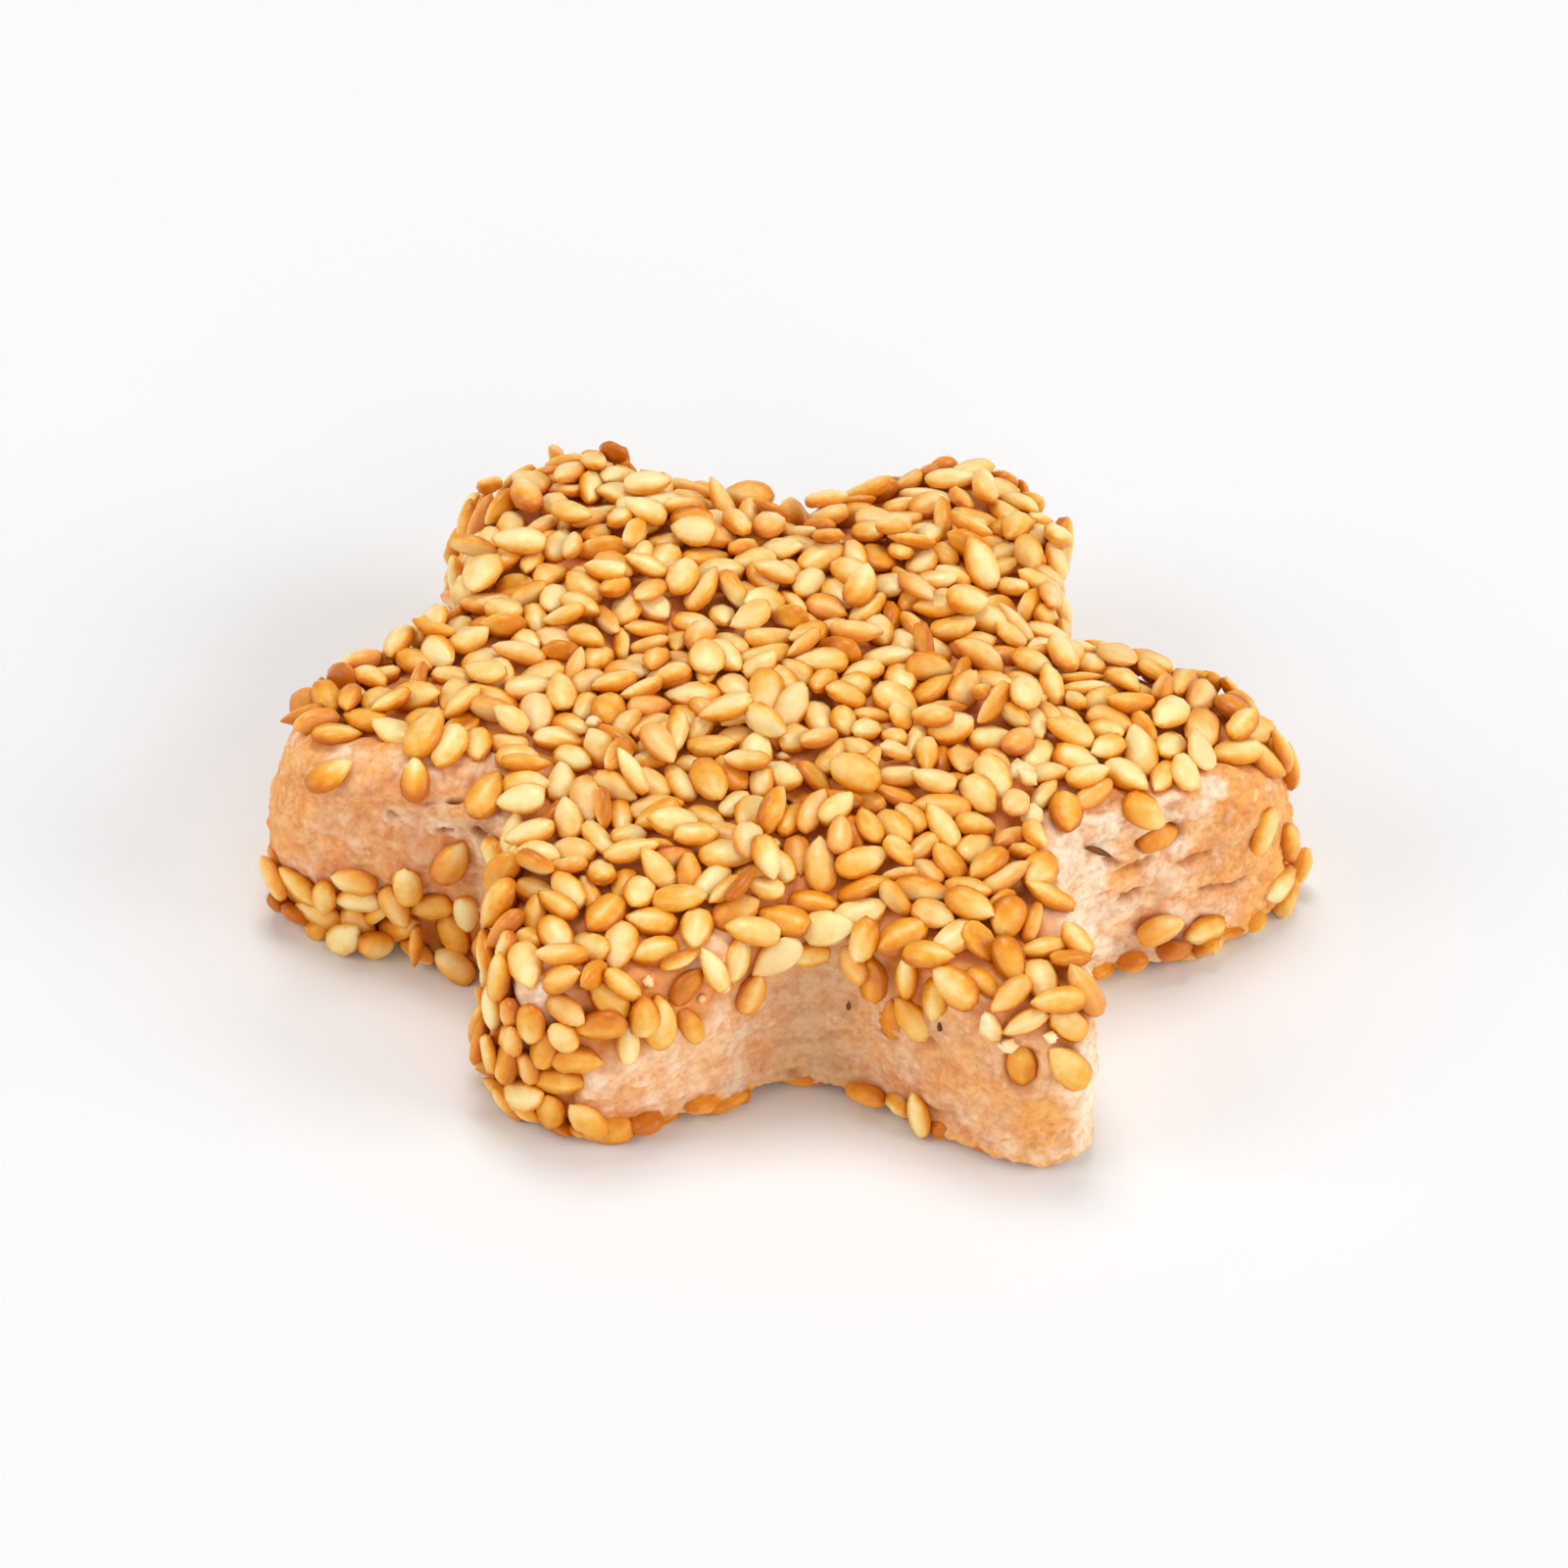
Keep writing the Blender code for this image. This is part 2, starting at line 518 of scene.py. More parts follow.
@dataclass
class Form:
    """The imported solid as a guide: its outline, and the way down from its crown to its base."""

    node: bpy.types.Object
    rim_height: float = 10.8 * MM
    wall_levels: Triple = (2 * MM, 5 * MM, 8 * MM)
    spokes: int = 240
    steepness: float = 0.5  # how far down a base's normal points, at least
    corners: Array = field(init=False)
    tree: BVHTree = field(init=False)
    reaches: Array = field(init=False)
    outline: Array = field(init=False)

    def __post_init__(self) -> None:
        """Reads the solid's triangles, and how far its sides reach in each direction."""
        mesh = self.node.data
        places = vertex_array(mesh)
        mesh.calc_loop_triangles()
        flat = np.empty(len(mesh.loop_triangles) * 3, dtype=np.int32)
        mesh.loop_triangles.foreach_get("vertices", flat)
        triangles = flat.reshape(-1, 3)
        self.corners = places[triangles]
        self.tree = BVHTree.FromPolygons(places.tolist(), triangles.tolist())
        turns = np.arange(self.spokes) * math.tau / self.spokes
        levels = (*self.wall_levels, self.rim_height)
        self.reaches = np.array([max(self._reach(turn, level) for level in levels) for turn in turns])
        self.outline = self.reaches[:, None] * np.stack([np.cos(turns), np.sin(turns)], axis=1)

    def _reach(self, turn: float, level: float) -> float:
        """Measures how far the side stands from the middle.

        Args:
            turn: the direction, in radians from +X.
            level: the height, in metres.

        Returns:
            The distance in metres.
        """
        outward = Vector((math.cos(turn), math.sin(turn), 0.0))
        start = outward * FAR_OFF * MM + Vector((0.0, 0.0, level))
        hit = self.tree.ray_cast(start, -outward)[0]
        return math.hypot(hit.x, hit.y)

    def sample(self, rng: np.random.Generator, count: int) -> tuple[Array, Array]:
        """Spreads places evenly at random over the solid.

        Args:
            rng: the source of the places.
            count: how many there are.

        Returns:
            The places, and the outward normal at each.
        """
        first, second, third = self.corners[:, 0], self.corners[:, 1], self.corners[:, 2]
        crosses = np.cross(second - first, third - first)
        areas = np.linalg.norm(crosses, axis=1)
        chosen = rng.choice(len(areas), count, p=areas / areas.sum())
        along, across = np.sqrt(rng.random(count)), rng.random(count)
        shares = np.stack([1 - along, along * (1 - across), along * across], axis=1)
        places = np.einsum("nk,nkc->nc", shares, self.corners[chosen])
        return places, unit(crosses[chosen])

    def nearest(self, places: Array) -> tuple[Array, Array]:
        """The nearest place on the solid to each place, with its outward normal."""
        found = [self.tree.find_nearest(Vector(row)) for row in places.tolist()]
        return np.array([hit[0] for hit in found]), np.array([hit[1] for hit in found])

    def spot(self, turn: float, down: float) -> tuple[Array, Array]:
        """Finds one place on the top or on the sides.

        Args:
            turn: its direction from the middle, in degrees from +X.
            down: how far down the way it is, in metres: more than 0 on the sides.

        Returns:
            The place, and the outward normal there.
        """
        angle = math.radians(turn)
        outward = Vector((math.cos(angle), math.sin(angle), 0.0))
        if down > 0:
            start = outward * FAR_OFF * MM + Vector((0.0, 0.0, self.rim_height - down))
            hit = self.tree.ray_cast(start, -outward)
        else:
            reach = np.interp(turn % 360, np.arange(self.spokes) * 360 / self.spokes, self.reaches)
            start = outward * (reach + down) + Vector((0.0, 0.0, FAR_OFF * MM))
            hit = self.tree.ray_cast(start, Vector((0.0, 0.0, -1.0)))
        return np.array(hit[0]), np.array(hit[1])

    def turn(self, places: Array) -> Array:
        """Each place's direction from the middle, in degrees from 0 to 360, 0 along +X."""
        return np.degrees(np.arctan2(places[:, 1], places[:, 0])) % 360

    def inset(self, places: Array) -> Array:
        """Measures how far each place lies inside the outline, seen from above.

        Args:
            places: points in metres, one a row.

        Returns:
            One distance in metres for each place.
        """
        finder = KDTree(self.spokes)
        for number, (x, y) in enumerate(self.outline):
            finder.insert((x, y, 0.0), number)
        finder.balance()
        return np.array([finder.find((x, y, 0.0))[2] for x, y in places[:, :2].tolist()])

    def pointness(self, places: Array) -> Array:
        """Tells how far out the outline reaches in each place's direction.

        Args:
            places: points in metres, one a row.

        Returns:
            One value for each place, 0 at the deepest notch and 1 at the longest point.
        """
        turns = np.arange(self.spokes + 1) * 360 / self.spokes
        reach = np.interp(self.turn(places), turns, np.append(self.reaches, self.reaches[0]))
        return (reach - self.reaches.min()) / np.ptp(self.reaches)

    def way_down(self, places: Array, normals: Array) -> Array:
        """Measures how far each place is along the way from crown to base.

        Args:
            places: points in metres, one a row.
            normals: the solid's outward normals there.

        Returns:
            One distance in metres for each place: 0 at the top of the sides, and less above them.
        """
        inset = self.inset(places)
        below = np.maximum(0.0, self.rim_height - places[:, 2])
        return np.where(normals[:, 2] < -self.steepness, self.rim_height + inset, below - inset)


# --------------------------------------------------------------------------------- the coat


@dataclass
class CoatMap:
    """Where the seeds lie: all over the top and the base, and raggedly down and up the sides."""

    form: Form
    ragged: float = 0.6 * MM  # how far its edge wanders
    ragged_size: float = 2.2 * MM
    ragged_foot: float = 0.5  # how far its lower edge wanders, as a share of that
    ragged_gap: float = 0.4  # and the edges of its bare spots
    fade: float = 0.45 * MM
    # How far down the way the upper coat reaches in each direction: (degrees, millimetres)
    edge: Table = (
        (0, 1.6), (10, 2.2), (30, 1.6), (60, 3.0), (90, 2.0), (112, 3.2), (128, 5.5), (148, 6.0),
        (165, 2.5), (178, 0.6), (182, -1.6), (185, -3.8), (196, -4.0), (202, -3.2), (206, -2.2),
        (210, -0.4), (214, 5.0), (219, 12.0), (241, 12.0), (243.5, 6.5), (250, 4.2), (256, 4.6),
        (259, 2.9), (263, 3.0), (265, 0.5), (274, 0.4), (281, 1.2), (283, 3.6), (286, 3.4),
        (288.5, 0.9), (291, -0.3), (294, 0.8), (298, 1.6), (300, 4.2), (302.5, 0.0), (306, -1.2),
        (329, -1.0), (334, -1.2), (340, -1.9), (345, -1.6), (351, -3.4), (353, -1.4), (357, 0.8),
        (360, 1.6),
    )
    # Where the lower coat begins on the way down, in each direction: (degrees, millimetres)
    foot: Table = (
        (0, 10.2), (30, 9.2), (60, 8.6), (90, 9.6), (125, 8.4), (150, 9.0), (180, 8.0), (189, 5.6),
        (205, 5.2), (211, 8.4), (243, 9.2), (250, 10.2), (262, 9.9), (284, 10.1), (290, 11.6),
        (334, 11.6), (338, 10.2), (345, 9.8), (350, 10.8), (360, 10.2),
    )
    # Bare spots in the coat: (degrees, millimetres down the way, radius in millimetres)
    gaps: tuple[Triple, ...] = ((236.2, 0.2, 1.15), (256.0, -1.2, 0.75))
    # Stray seeds on the bare part of the sides, in each direction: (degrees, share of a full coat)
    strays: Table = (
        (0, 0.10), (30, 0.10), (60, 0.16), (90, 0.12), (125, 0.30), (150, 0.25), (178, 0.08),
        (184, 0.0), (208, 0.0), (212, 0.2), (240, 0.2), (246, 0.0), (345, 0.0), (354, 0.06),
        (360, 0.10),
    )

    def depth(self, places: Array, normals: Array) -> Array:
        """Measures how far each place lies inside the coat.

        Args:
            places: points on the solid in metres, one a row.
            normals: the solid's outward normals there.

        Returns:
            One distance in metres for each place, less than 0 outside the coat.
        """
        turn = self.form.turn(places)
        down = self.form.way_down(places, normals)
        wander = self.ragged * rough(places, (self.ragged_size,) * 3, 2)
        upper = around(turn, self.edge) * MM + wander - down
        lower = down - around(turn, self.foot) * MM - self.ragged_foot * wander
        inside = np.maximum(upper, lower)
        for gap_turn, gap_down, radius in self.gaps:
            centre, _ = self.form.spot(gap_turn, gap_down * MM)
            away = np.linalg.norm(places - centre, axis=1) - radius * MM
            inside = np.minimum(inside, away + self.ragged_gap * wander)
        return inside

    def fullness(self, places: Array, normals: Array, margin: float) -> Array:
        """How full of seeds each place is: 1 if it is that far inside the coat, else the strays."""
        inside = self.depth(places, normals) > margin
        return np.where(inside, 1.0, around(self.form.turn(places), self.strays))


# -------------------------------------------------------------------------------- the dough


@dataclass(frozen=True)
class Dent:
    """An oval hole or a crack in the dough."""

    turn: float  # degrees round from +X
    down: float  # millimetres down the way from the crown
    across: float  # half its width, in millimetres
    up: float  # half its height, in millimetres
    depth: float  # millimetres
    tilt: float = 0.0  # degrees that its top is turned, counter-clockwise


@dataclass(frozen=True)
class Tint:
    """An oval patch of the dough that is paler or more golden than the rest, or greyer with painted
    shade.
    """

    turn: float  # degrees round from +X
    down: float  # millimetres down the way from the crown
    across: float  # half its width, in millimetres
    up: float  # half its height, in millimetres
    cream: float = 0.0  # how much paler it is
    dull: float = 0.0  # how much greyer painted shade makes it
    bake: float = 0.0  # how much more golden it is
    tilt: float = 0.0  # degrees that its top is turned, counter-clockwise


@dataclass
class Dough:
    """The baked dough: flaky, pitted and torn where it is bare, and smoother under the seeds."""

    form: Form
    coat: CoatMap
    finish: DoughFinish
    voxel: float = 0.4 * MM
    weld: float = 0.001 * MM
    smoothing: float = 0.5
    # How far it lies inside the solid
    coat_depth: float = 0.90 * MM  # under the coat
    coat_slope: float = 2.6 * MM  # how far inside the coat's edge it is that deep
    side_depth: float = 0.10 * MM  # on the bare sides
    # Its relief, broadest first: how high it stands, and how far apart its swells are
    lump_height: float = 0.26 * MM
    lump_size: Triple = (4 * MM, 4 * MM, 4 * MM)
    fold_height: float = 0.55 * MM
    fold_size: Triple = (3.6 * MM, 3.6 * MM, 1.9 * MM)
    layer_height: float = 0.10 * MM
    layer_size: Triple = (2.4 * MM, 2.4 * MM, 0.6 * MM)
    billow_height: float = 0.26 * MM
    billow_size: Triple = (1.5 * MM, 1.5 * MM, 1.0 * MM)
    billow_coated: float = 0.3  # how much of that height is left under the coat
    level: float = 0.35  # taken off folds and billows, so that they sink as well as rise
    grain_height: float = 0.06 * MM
    grain_size: Triple = (0.55 * MM, 0.55 * MM, 0.55 * MM)
    # The lip round the foot, where the dough has spread
    lip_height: float = 0.30 * MM
    lip_level: float = 0.8 * MM
    lip_width: float = 0.32 * MM
    lip_size: Triple = (1.6 * MM, 1.6 * MM, 1.6 * MM)
    lip_unevenness: Pair = (0.5, 0.7)  # the share that is there all along, and that wanders
    # Its holes, cracks and buried seeds
    steep: float = 0.5  # how far up or down a side's normal points, at most
    draw_more: int = 12  # how many places are drawn for each that is wanted on the sides
    pits: int = 90
    pit_radius: Pair = (0.22 * MM, 0.65 * MM)
    pit_depth: Pair = (0.08 * MM, 0.34 * MM)
    pit_at_points: float = 0.7  # how much shallower pits are at the points
    cracks: int = 16
    crack_length: Pair = (1.5 * MM, 5.0 * MM)
    crack_width: float = 0.20 * MM
    crack_depth: float = 0.20 * MM
    crack_wave: Pair = (0.25 * MM, 0.9 * MM)  # how high and how long the waves in a crack are
    buried: int = 40
    buried_half: Pair = (1.55 * MM, 0.90 * MM)
    buried_height: float = 0.24 * MM
    buried_showing: Pair = (0.4, 1.0)  # the share of that height, from the least to the most
    buried_edge: Pair = (0.45, 1.15)  # where it starts to fall and is gone, in half sizes
    dent_edge: Pair = (0.6, 1.2)  # where a dent starts to fade and is gone, in half sizes
    # Its colours
    patch_size: Triple = (2.4 * MM, 2.4 * MM, 2.4 * MM)
    patch_strength: float = 0.65
    patch_relief: float = 0.5  # painted highlight: how much paler what stands proud is, and how much darker what sinks
    # Painted shade in the creases between billows, and in the pits, cracks and dents
    crease_width: float = 0.16  # how far up a billow the painted shade between two reaches
    crease_strength: float = 0.20
    crease_torn: float = 0.3  # how much stronger the painted shade of creases is where the side is torn
    cut_shade: float = 0.55 * MM  # how deep a cut has the full painted shade of a crevice
    deepest: float = 0.85  # the most painted shade that a crevice takes
    under_coat: Pair = (0.2 * MM, 2.2 * MM)  # from where to where, inside the coat, the dough takes its darker colour under the seeds
    dull_patches: float = 0.2  # how much duller the pale patches are
    gold_patches: float = -0.5  # how much more golden they are
    gold_lip: float = 0.4  # how much more golden the lip is
    most_golden: float = 0.9
    tint_edge: Pair = (0.3, 1.4)  # where a tint starts to fade and is gone, in half sizes
    tint_unevenness: float = 0.6
    dents: tuple[Dent, ...] = (
        Dent(295.1, 3.2, 1.15, 1.75, 0.55),
        Dent(339.8, 1.0, 1.75, 0.90, 0.60),
        Dent(254.4, 0.9, 0.95, 0.75, 0.65),
        Dent(201.9, -1.4, 0.60, 0.34, 0.50, 30),
        Dent(206.7, 0.1, 0.50, 0.32, 0.55, -25),
        Dent(209.4, 0.1, 0.36, 0.28, 0.50),
        Dent(203.0, 0.6, 0.65, 0.24, 0.40, 12),
        Dent(198.6, 0.2, 0.45, 0.26, 0.34, -18),
        Dent(343.5, 3.2, 1.30, 0.22, 0.45),
        Dent(346.5, 5.8, 2.40, 0.20, 0.40, -8),
        Dent(336.5, 4.6, 1.10, 0.22, 0.42, 15),
        Dent(333.5, 1.6, 0.90, 0.24, 0.42, -35),
        Dent(337.0, 2.4, 1.30, 0.34, 0.36, 12),
        Dent(283.0, 4.9, 0.90, 0.18, 0.24, 10),
    )
    tints: tuple[Tint, ...] = (
        Tint(342.0, 2.0, 1.1, 0.8, cream=0.9, bake=-0.3),
        Tint(347.5, -2.4, 1.5, 1.3, cream=0.9, bake=-0.3, tilt=25),
        Tint(333.4, -0.6, 1.4, 1.3, cream=1.0, bake=-0.4),
        Tint(335.6, 3.0, 1.3, 1.6, cream=-0.4, bake=0.65),
        Tint(236.2, 0.2, 1.3, 1.5, cream=1.0, bake=-0.8),
        Tint(329.0, 6.0, 1.8, 4.0, cream=1.0, bake=-0.6),
        Tint(309.8, -1.4, 1.2, 1.4, cream=1.0, bake=-0.4),
        Tint(354.5, 7.0, 1.5, 2.4, cream=-0.3, bake=0.6),
        Tint(338.6, 5.2, 1.4, 1.6, cream=-0.5, dull=0.15),
        Tint(346.5, 3.4, 2.2, 1.8, cream=-0.5, dull=0.45, bake=-0.3),
        Tint(203.1, 0.5, 1.2, 0.9, cream=0.8, bake=-0.2, tilt=20),
        Tint(192.4, -5.2, 2.4, 1.0, cream=0.8),
        Tint(208.2, 1.6, 0.9, 1.2, cream=0.7),
        Tint(186.1, -0.9, 1.4, 1.3, cream=0.15, bake=0.25),
        Tint(195.0, -0.8, 2.2, 1.2, cream=-0.2, dull=0.35),
        Tint(190.0, 1.6, 1.4, 1.6, bake=0.5),
        Tint(206.7, 0.0, 0.9, 0.8, dull=0.7),
        Tint(251.6, -1.0, 2.2, 1.1, cream=-0.5, dull=0.35, bake=-0.3),
        Tint(259.8, 4.6, 2.0, 1.6, cream=0.6),
        Tint(254.0, 7.4, 2.4, 1.4, cream=0.45),
        Tint(302.7, 7.0, 0.9, 3.2, cream=1.2, bake=-0.5, tilt=-10),
        Tint(299.0, 9.6, 1.6, 0.8, cream=0.5),
        Tint(288.0, 3.6, 2.0, 1.8, cream=-0.2, dull=0.35),
        Tint(297.0, 7.0, 1.7, 2.0, cream=-0.5, bake=0.5),
    )
    # How pale the sides are in each direction: (degrees, 0 pinkish tan to 1 cream)
    paleness: Table = (
        (0, 0.30), (20, 0.45), (60, 0.60), (95, 0.35), (130, 0.65), (178, 0.15), (200, 0.10),
        (212, 0.50), (236, 0.95), (244, 0.55), (256, 0.62), (264, 0.30), (280, 0.18), (292, 0.12),
        (298, 0.35), (301, 0.85), (308, 1.1), (324, 1.3), (330, 1.1), (336, 0.75), (342, 0.55),
        (350, 0.10), (360, 0.30),
    )
    # Painted shade in the notches, greyish, in each direction: (degrees, 0 to 1)
    notch_shade: Table = (
        (0, 0.0), (80, 0.1), (92, 0.5), (104, 0.1), (190, 0.05), (206, 0.30), (214, 0.1),
        (250, 0.0), (260, 0.30), (268, 0.85), (278, 0.80), (286, 0.35), (296, 0.0), (360, 0.0),
    )
    # How golden the sides are in each direction: (degrees, 0 to 1)
    gilding: Table = (
        (0, 0.55), (20, 0.1), (60, 0.4), (90, 0.0), (120, 0.4), (150, 0.1), (184, 0.40),
        (194, 0.20), (206, 0.05), (236, 0.45), (248, 0.25), (256, 0.18), (264, 0.0), (288, 0.1),
        (298, 0.40), (303, 0.1), (330, 0.0), (340, 0.22), (349, 0.55), (356, 0.75), (360, 0.55),
    )
    # How torn the sides are in each direction: (degrees, 0 smooth to 1 torn)
    torn: Table = (
        (0, 0.2), (20, 0.0), (190, 0.0), (198, 0.5), (208, 0.5), (214, 0.0), (256, 0.0), (268, 0.3),
        (276, 0.0), (322, 0.2), (330, 1.0), (347, 1.0), (356, 0.4), (360, 0.2),
    )
    # How far the rim is worn back in each direction: (degrees, millimetres)
    slump: Table = (
        (0, 0.2), (176, 0.0), (186, 0.80), (202, 0.70), (212, 0.0), (330, 0.0), (342, 0.35),
        (360, 0.2),
    )
    slump_width: float = 2.2 * MM

    def build(self, rng: np.random.Generator) -> bpy.types.Object:
        """Models and dresses the dough.

        Args:
            rng: the source of the places of pits, cracks and buried seeds.

        Returns:
            The finished piece.
        """
        piece = self._blank()
        mesh = piece.data
        places, normals = vertex_array(mesh), normal_array(mesh)
        turn = self.form.turn(places)
        depth = self.coat.depth(places, normals)
        bare = 1 - ease(depth, -self.coat.fade, self.coat.fade)
        cuts = self._pits(rng, places) + self._cracks(rng, places) + self._dents(places)
        billows = np.abs(rough(places, self.billow_size, 3))
        lip = np.exp(-(((places[:, 2] - self.lip_level) / self.lip_width) ** 2)) * bare
        torn = around(turn, self.torn)
        folds = torn * (np.abs(rough(places, self.fold_size, 2)) - self.level)
        rise = self._relief(places, bare, billows, lip, folds)
        rise += self._buried_seeds(rng, places) * bare - cuts * bare
        worn = np.exp(-((self.form.way_down(places, normals) / self.slump_width) ** 2))
        rise -= around(turn, self.slump) * MM * worn
        sunk = ease(depth, -self.coat.fade, self.coat_slope)
        inset = self.side_depth + (self.coat_depth - self.side_depth) * sunk
        put_vertices(mesh, places + normals * (rise - inset)[:, None])
        patches_and_painted_light = self.patch_strength * rough(places, self.patch_size, 2)
        # Painted light: paler where the billows and folds stand proud, darker where they sink
        patches_and_painted_light = patches_and_painted_light + self.patch_relief * (billows - self.level + folds)
        # Painted shade: darker in the creases between billows and in the pits, cracks and dents
        crease_shade = 1 - ease(billows, 0.0, self.crease_width)
        crease_shade *= self.crease_strength * (1 + self.crease_torn * torn)
        crevice = (cuts / self.cut_shade + crease_shade) * bare
        put_attribute(mesh, "coat", ease(depth, *self.under_coat))
        put_attribute(mesh, "crevice", crevice.clip(0, self.deepest))
        self._paint(mesh, places, patches_and_painted_light, lip)
        mesh.shade_smooth()
        mesh.materials.clear()
        mesh.materials.append(self.finish.material())
        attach(piece, BODY)
        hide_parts(NODE)
        return piece

    def _relief(self, places: Array, bare: Array, billows: Array, lip: Array, folds: Array) -> Array:
        """Adds up the relief that is made of noise.

        Args:
            places: the vertices' places, one a row.
            bare: how bare of seeds each is, 0 to 1.
            billows: how far each is up a billow.
            lip: how near each is to the lip, 0 to 1.
            folds: how far each is up a fold, 0 where the side is not torn.

        Returns:
            How far each vertex rises, in metres.
        """
        rise = self.lump_height * rough(places, self.lump_size, 2)
        rise += self.fold_height * folds * bare
        left = self.billow_coated + (1 - self.billow_coated) * bare
        rise += self.billow_height * (billows - self.level) * left
        rise += self.layer_height * rough(places, self.layer_size, 3) * bare
        rise += self.grain_height * rough(places, self.grain_size, 2) * bare
        steady, wandering = self.lip_unevenness
        rise += self.lip_height * lip * (steady + wandering * rough(places, self.lip_size, 2))
        return rise

    def _paint(self, mesh: bpy.types.Mesh, places: Array, patches_and_painted_light: Array, lip: Array) -> None:
        """Stores how pale and how golden the dough is, and where painted shade in notches and dents,
        and duller patches, grey it.

        Args:
            mesh: the dough's mesh.
            places: where its vertices were before the relief, one a row.
            patches_and_painted_light: the uneven patches all over, with a painted highlight on what
                stands proud and painted shade in what sinks, about -1 to 1.
            lip: how near each vertex is to the lip, 0 to 1.
        """
        turn = self.form.turn(places)
        cream, dull, bake = self._tints(places, patches_and_painted_light)
        cream += around(turn, self.paleness) + patches_and_painted_light
        dull += around(turn, self.notch_shade) + self.dull_patches * patches_and_painted_light
        bake += around(turn, self.gilding) + self.gold_patches * patches_and_painted_light + self.gold_lip * lip
        put_attribute(mesh, "cream", cream.clip(0, 1))
        put_attribute(mesh, "dull", dull.clip(0, 1))
        put_attribute(mesh, "bake", bake.clip(0, self.most_golden))

    def _blank(self) -> bpy.types.Object:
        """Makes a fine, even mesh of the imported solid's shape, finer where the dough is bare.

        Returns:
            The dough's object, before its relief.
        """
        piece = bpy.data.objects.new("dough", self.form.node.data.copy())
        bpy.context.scene.collection.objects.link(piece)
        select_only(piece)
        bpy.ops.object.mode_set(mode="EDIT")
        bpy.ops.mesh.select_all(action="SELECT")
        bpy.ops.mesh.remove_doubles(threshold=self.weld)
        bpy.ops.object.mode_set(mode="OBJECT")
        apply_modifier(piece, "REMESH", mode="VOXEL", voxel_size=self.voxel)
        apply_modifier(piece, "SMOOTH", factor=self.smoothing, iterations=5)
        centres = np.array([face.center for face in piece.data.polygons])
        normals = np.array([face.normal for face in piece.data.polygons])
        bare = self.coat.depth(centres, normals) < self.voxel
        bpy.ops.object.mode_set(mode="EDIT")
        cage = bmesh.from_edit_mesh(piece.data)
        for face, wanted in zip(cage.faces, bare):
            face.select_set(bool(wanted))
        bmesh.update_edit_mesh(piece.data)
        bpy.ops.mesh.subdivide(number_cuts=1)
        bpy.ops.object.mode_set(mode="OBJECT")
        apply_modifier(piece, "SMOOTH", factor=self.smoothing, iterations=2)
        return piece

    def _on_sides(self, rng: np.random.Generator, count: int) -> tuple[Array, Array]:
        """Draws random places on the sides of the cookie.

        Args:
            rng: the source of the places.
            count: how many are wanted.

        Returns:
            The places, and the outward normal at each.
        """
        places, normals = self.form.sample(rng, count * self.draw_more)
        steep = np.abs(normals[:, 2]) < self.steep
        return places[steep][:count], normals[steep][:count]

    def _pits(self, rng: np.random.Generator, places: Array) -> Array:
        """Cuts round pits, which are deepest in the notches.

        Args:
            rng: the source of their places and sizes.
            places: the vertices' places, one a row.

        Returns:
            How deep they cut at each vertex, in metres.
        """
        depth = np.zeros(len(places))
        centres, _ = self._on_sides(rng, self.pits)
        for centre, outness in zip(centres, self.form.pointness(centres)):
            radius, deepest = rng.uniform(*self.pit_radius), rng.uniform(*self.pit_depth)
            deepest *= 1 - self.pit_at_points * outness
            away = ((places - centre) ** 2).sum(axis=1) / radius**2
            depth = np.maximum(depth, deepest * np.exp(-away))
        return depth

    def _cracks(self, rng: np.random.Generator, places: Array) -> Array:
        """Cuts wavy cracks between the layers.

        Args:
            rng: the source of their places and lengths.
            places: the vertices' places, one a row.

        Returns:
            How deep they cut at each vertex, in metres.
        """
        depth = np.zeros(len(places))
        centres, _ = self._on_sides(rng, self.cracks)
        wave_height, wave_length = self.crack_wave
        for centre in centres:
            length, phase = rng.uniform(*self.crack_length), rng.uniform(0, math.tau)
            wave = wave_height * np.sin((places[:, 0] - places[:, 1]) / wave_length + phase)
            across = (places[:, 2] - centre[2] - wave) / self.crack_width
            along = ((places - centre)[:, :2] ** 2).sum(axis=1) * 4 / length**2
            cut = self.crack_depth * np.clip(1 - along, 0, 1) * np.exp(-(across**2))
            depth = np.maximum(depth, cut)
        return depth

    @staticmethod
    def _oval(places: Array, centre: Array, up: Array, normal: Array, half: Pair) -> Array:
        """Measures how far each place is from the middle of an oval.

        Args:
            places: the vertices' places, one a row.
            centre: the middle of the oval.
            up: the way that its height runs.
            normal: the way that it faces.
            half: half its height and half its width, in metres.

        Returns:
            The distances as a share of its half sizes.
        """
        away = places - centre
        across = away @ np.cross(normal, up) / half[1]
        along = away @ up / half[0]
        off = away @ normal / max(half)
        return np.sqrt(along**2 + across**2 + off**2)

    def _buried_seeds(self, rng: np.random.Generator, places: Array) -> Array:
        """Raises the skin over the seeds that are under it.

        Args:
            rng: the source of their places and headings.
            places: the vertices' places, one a row.

        Returns:
            How far the skin stands proud at each vertex, in metres.
        """
        rise = np.zeros(len(places))
        centres, normals = self._on_sides(rng, self.buried)
        for centre, normal in zip(centres, normals):
            up = rng.normal(size=3)
            up = unit(up - (up @ normal) * normal)
            share = self._oval(places, centre, up, normal, self.buried_half)
            proud = rng.uniform(*self.buried_showing) * self.buried_height
            proud = proud * (1 - ease(share, *self.buried_edge))
            rise = np.maximum(rise, proud)
        return rise

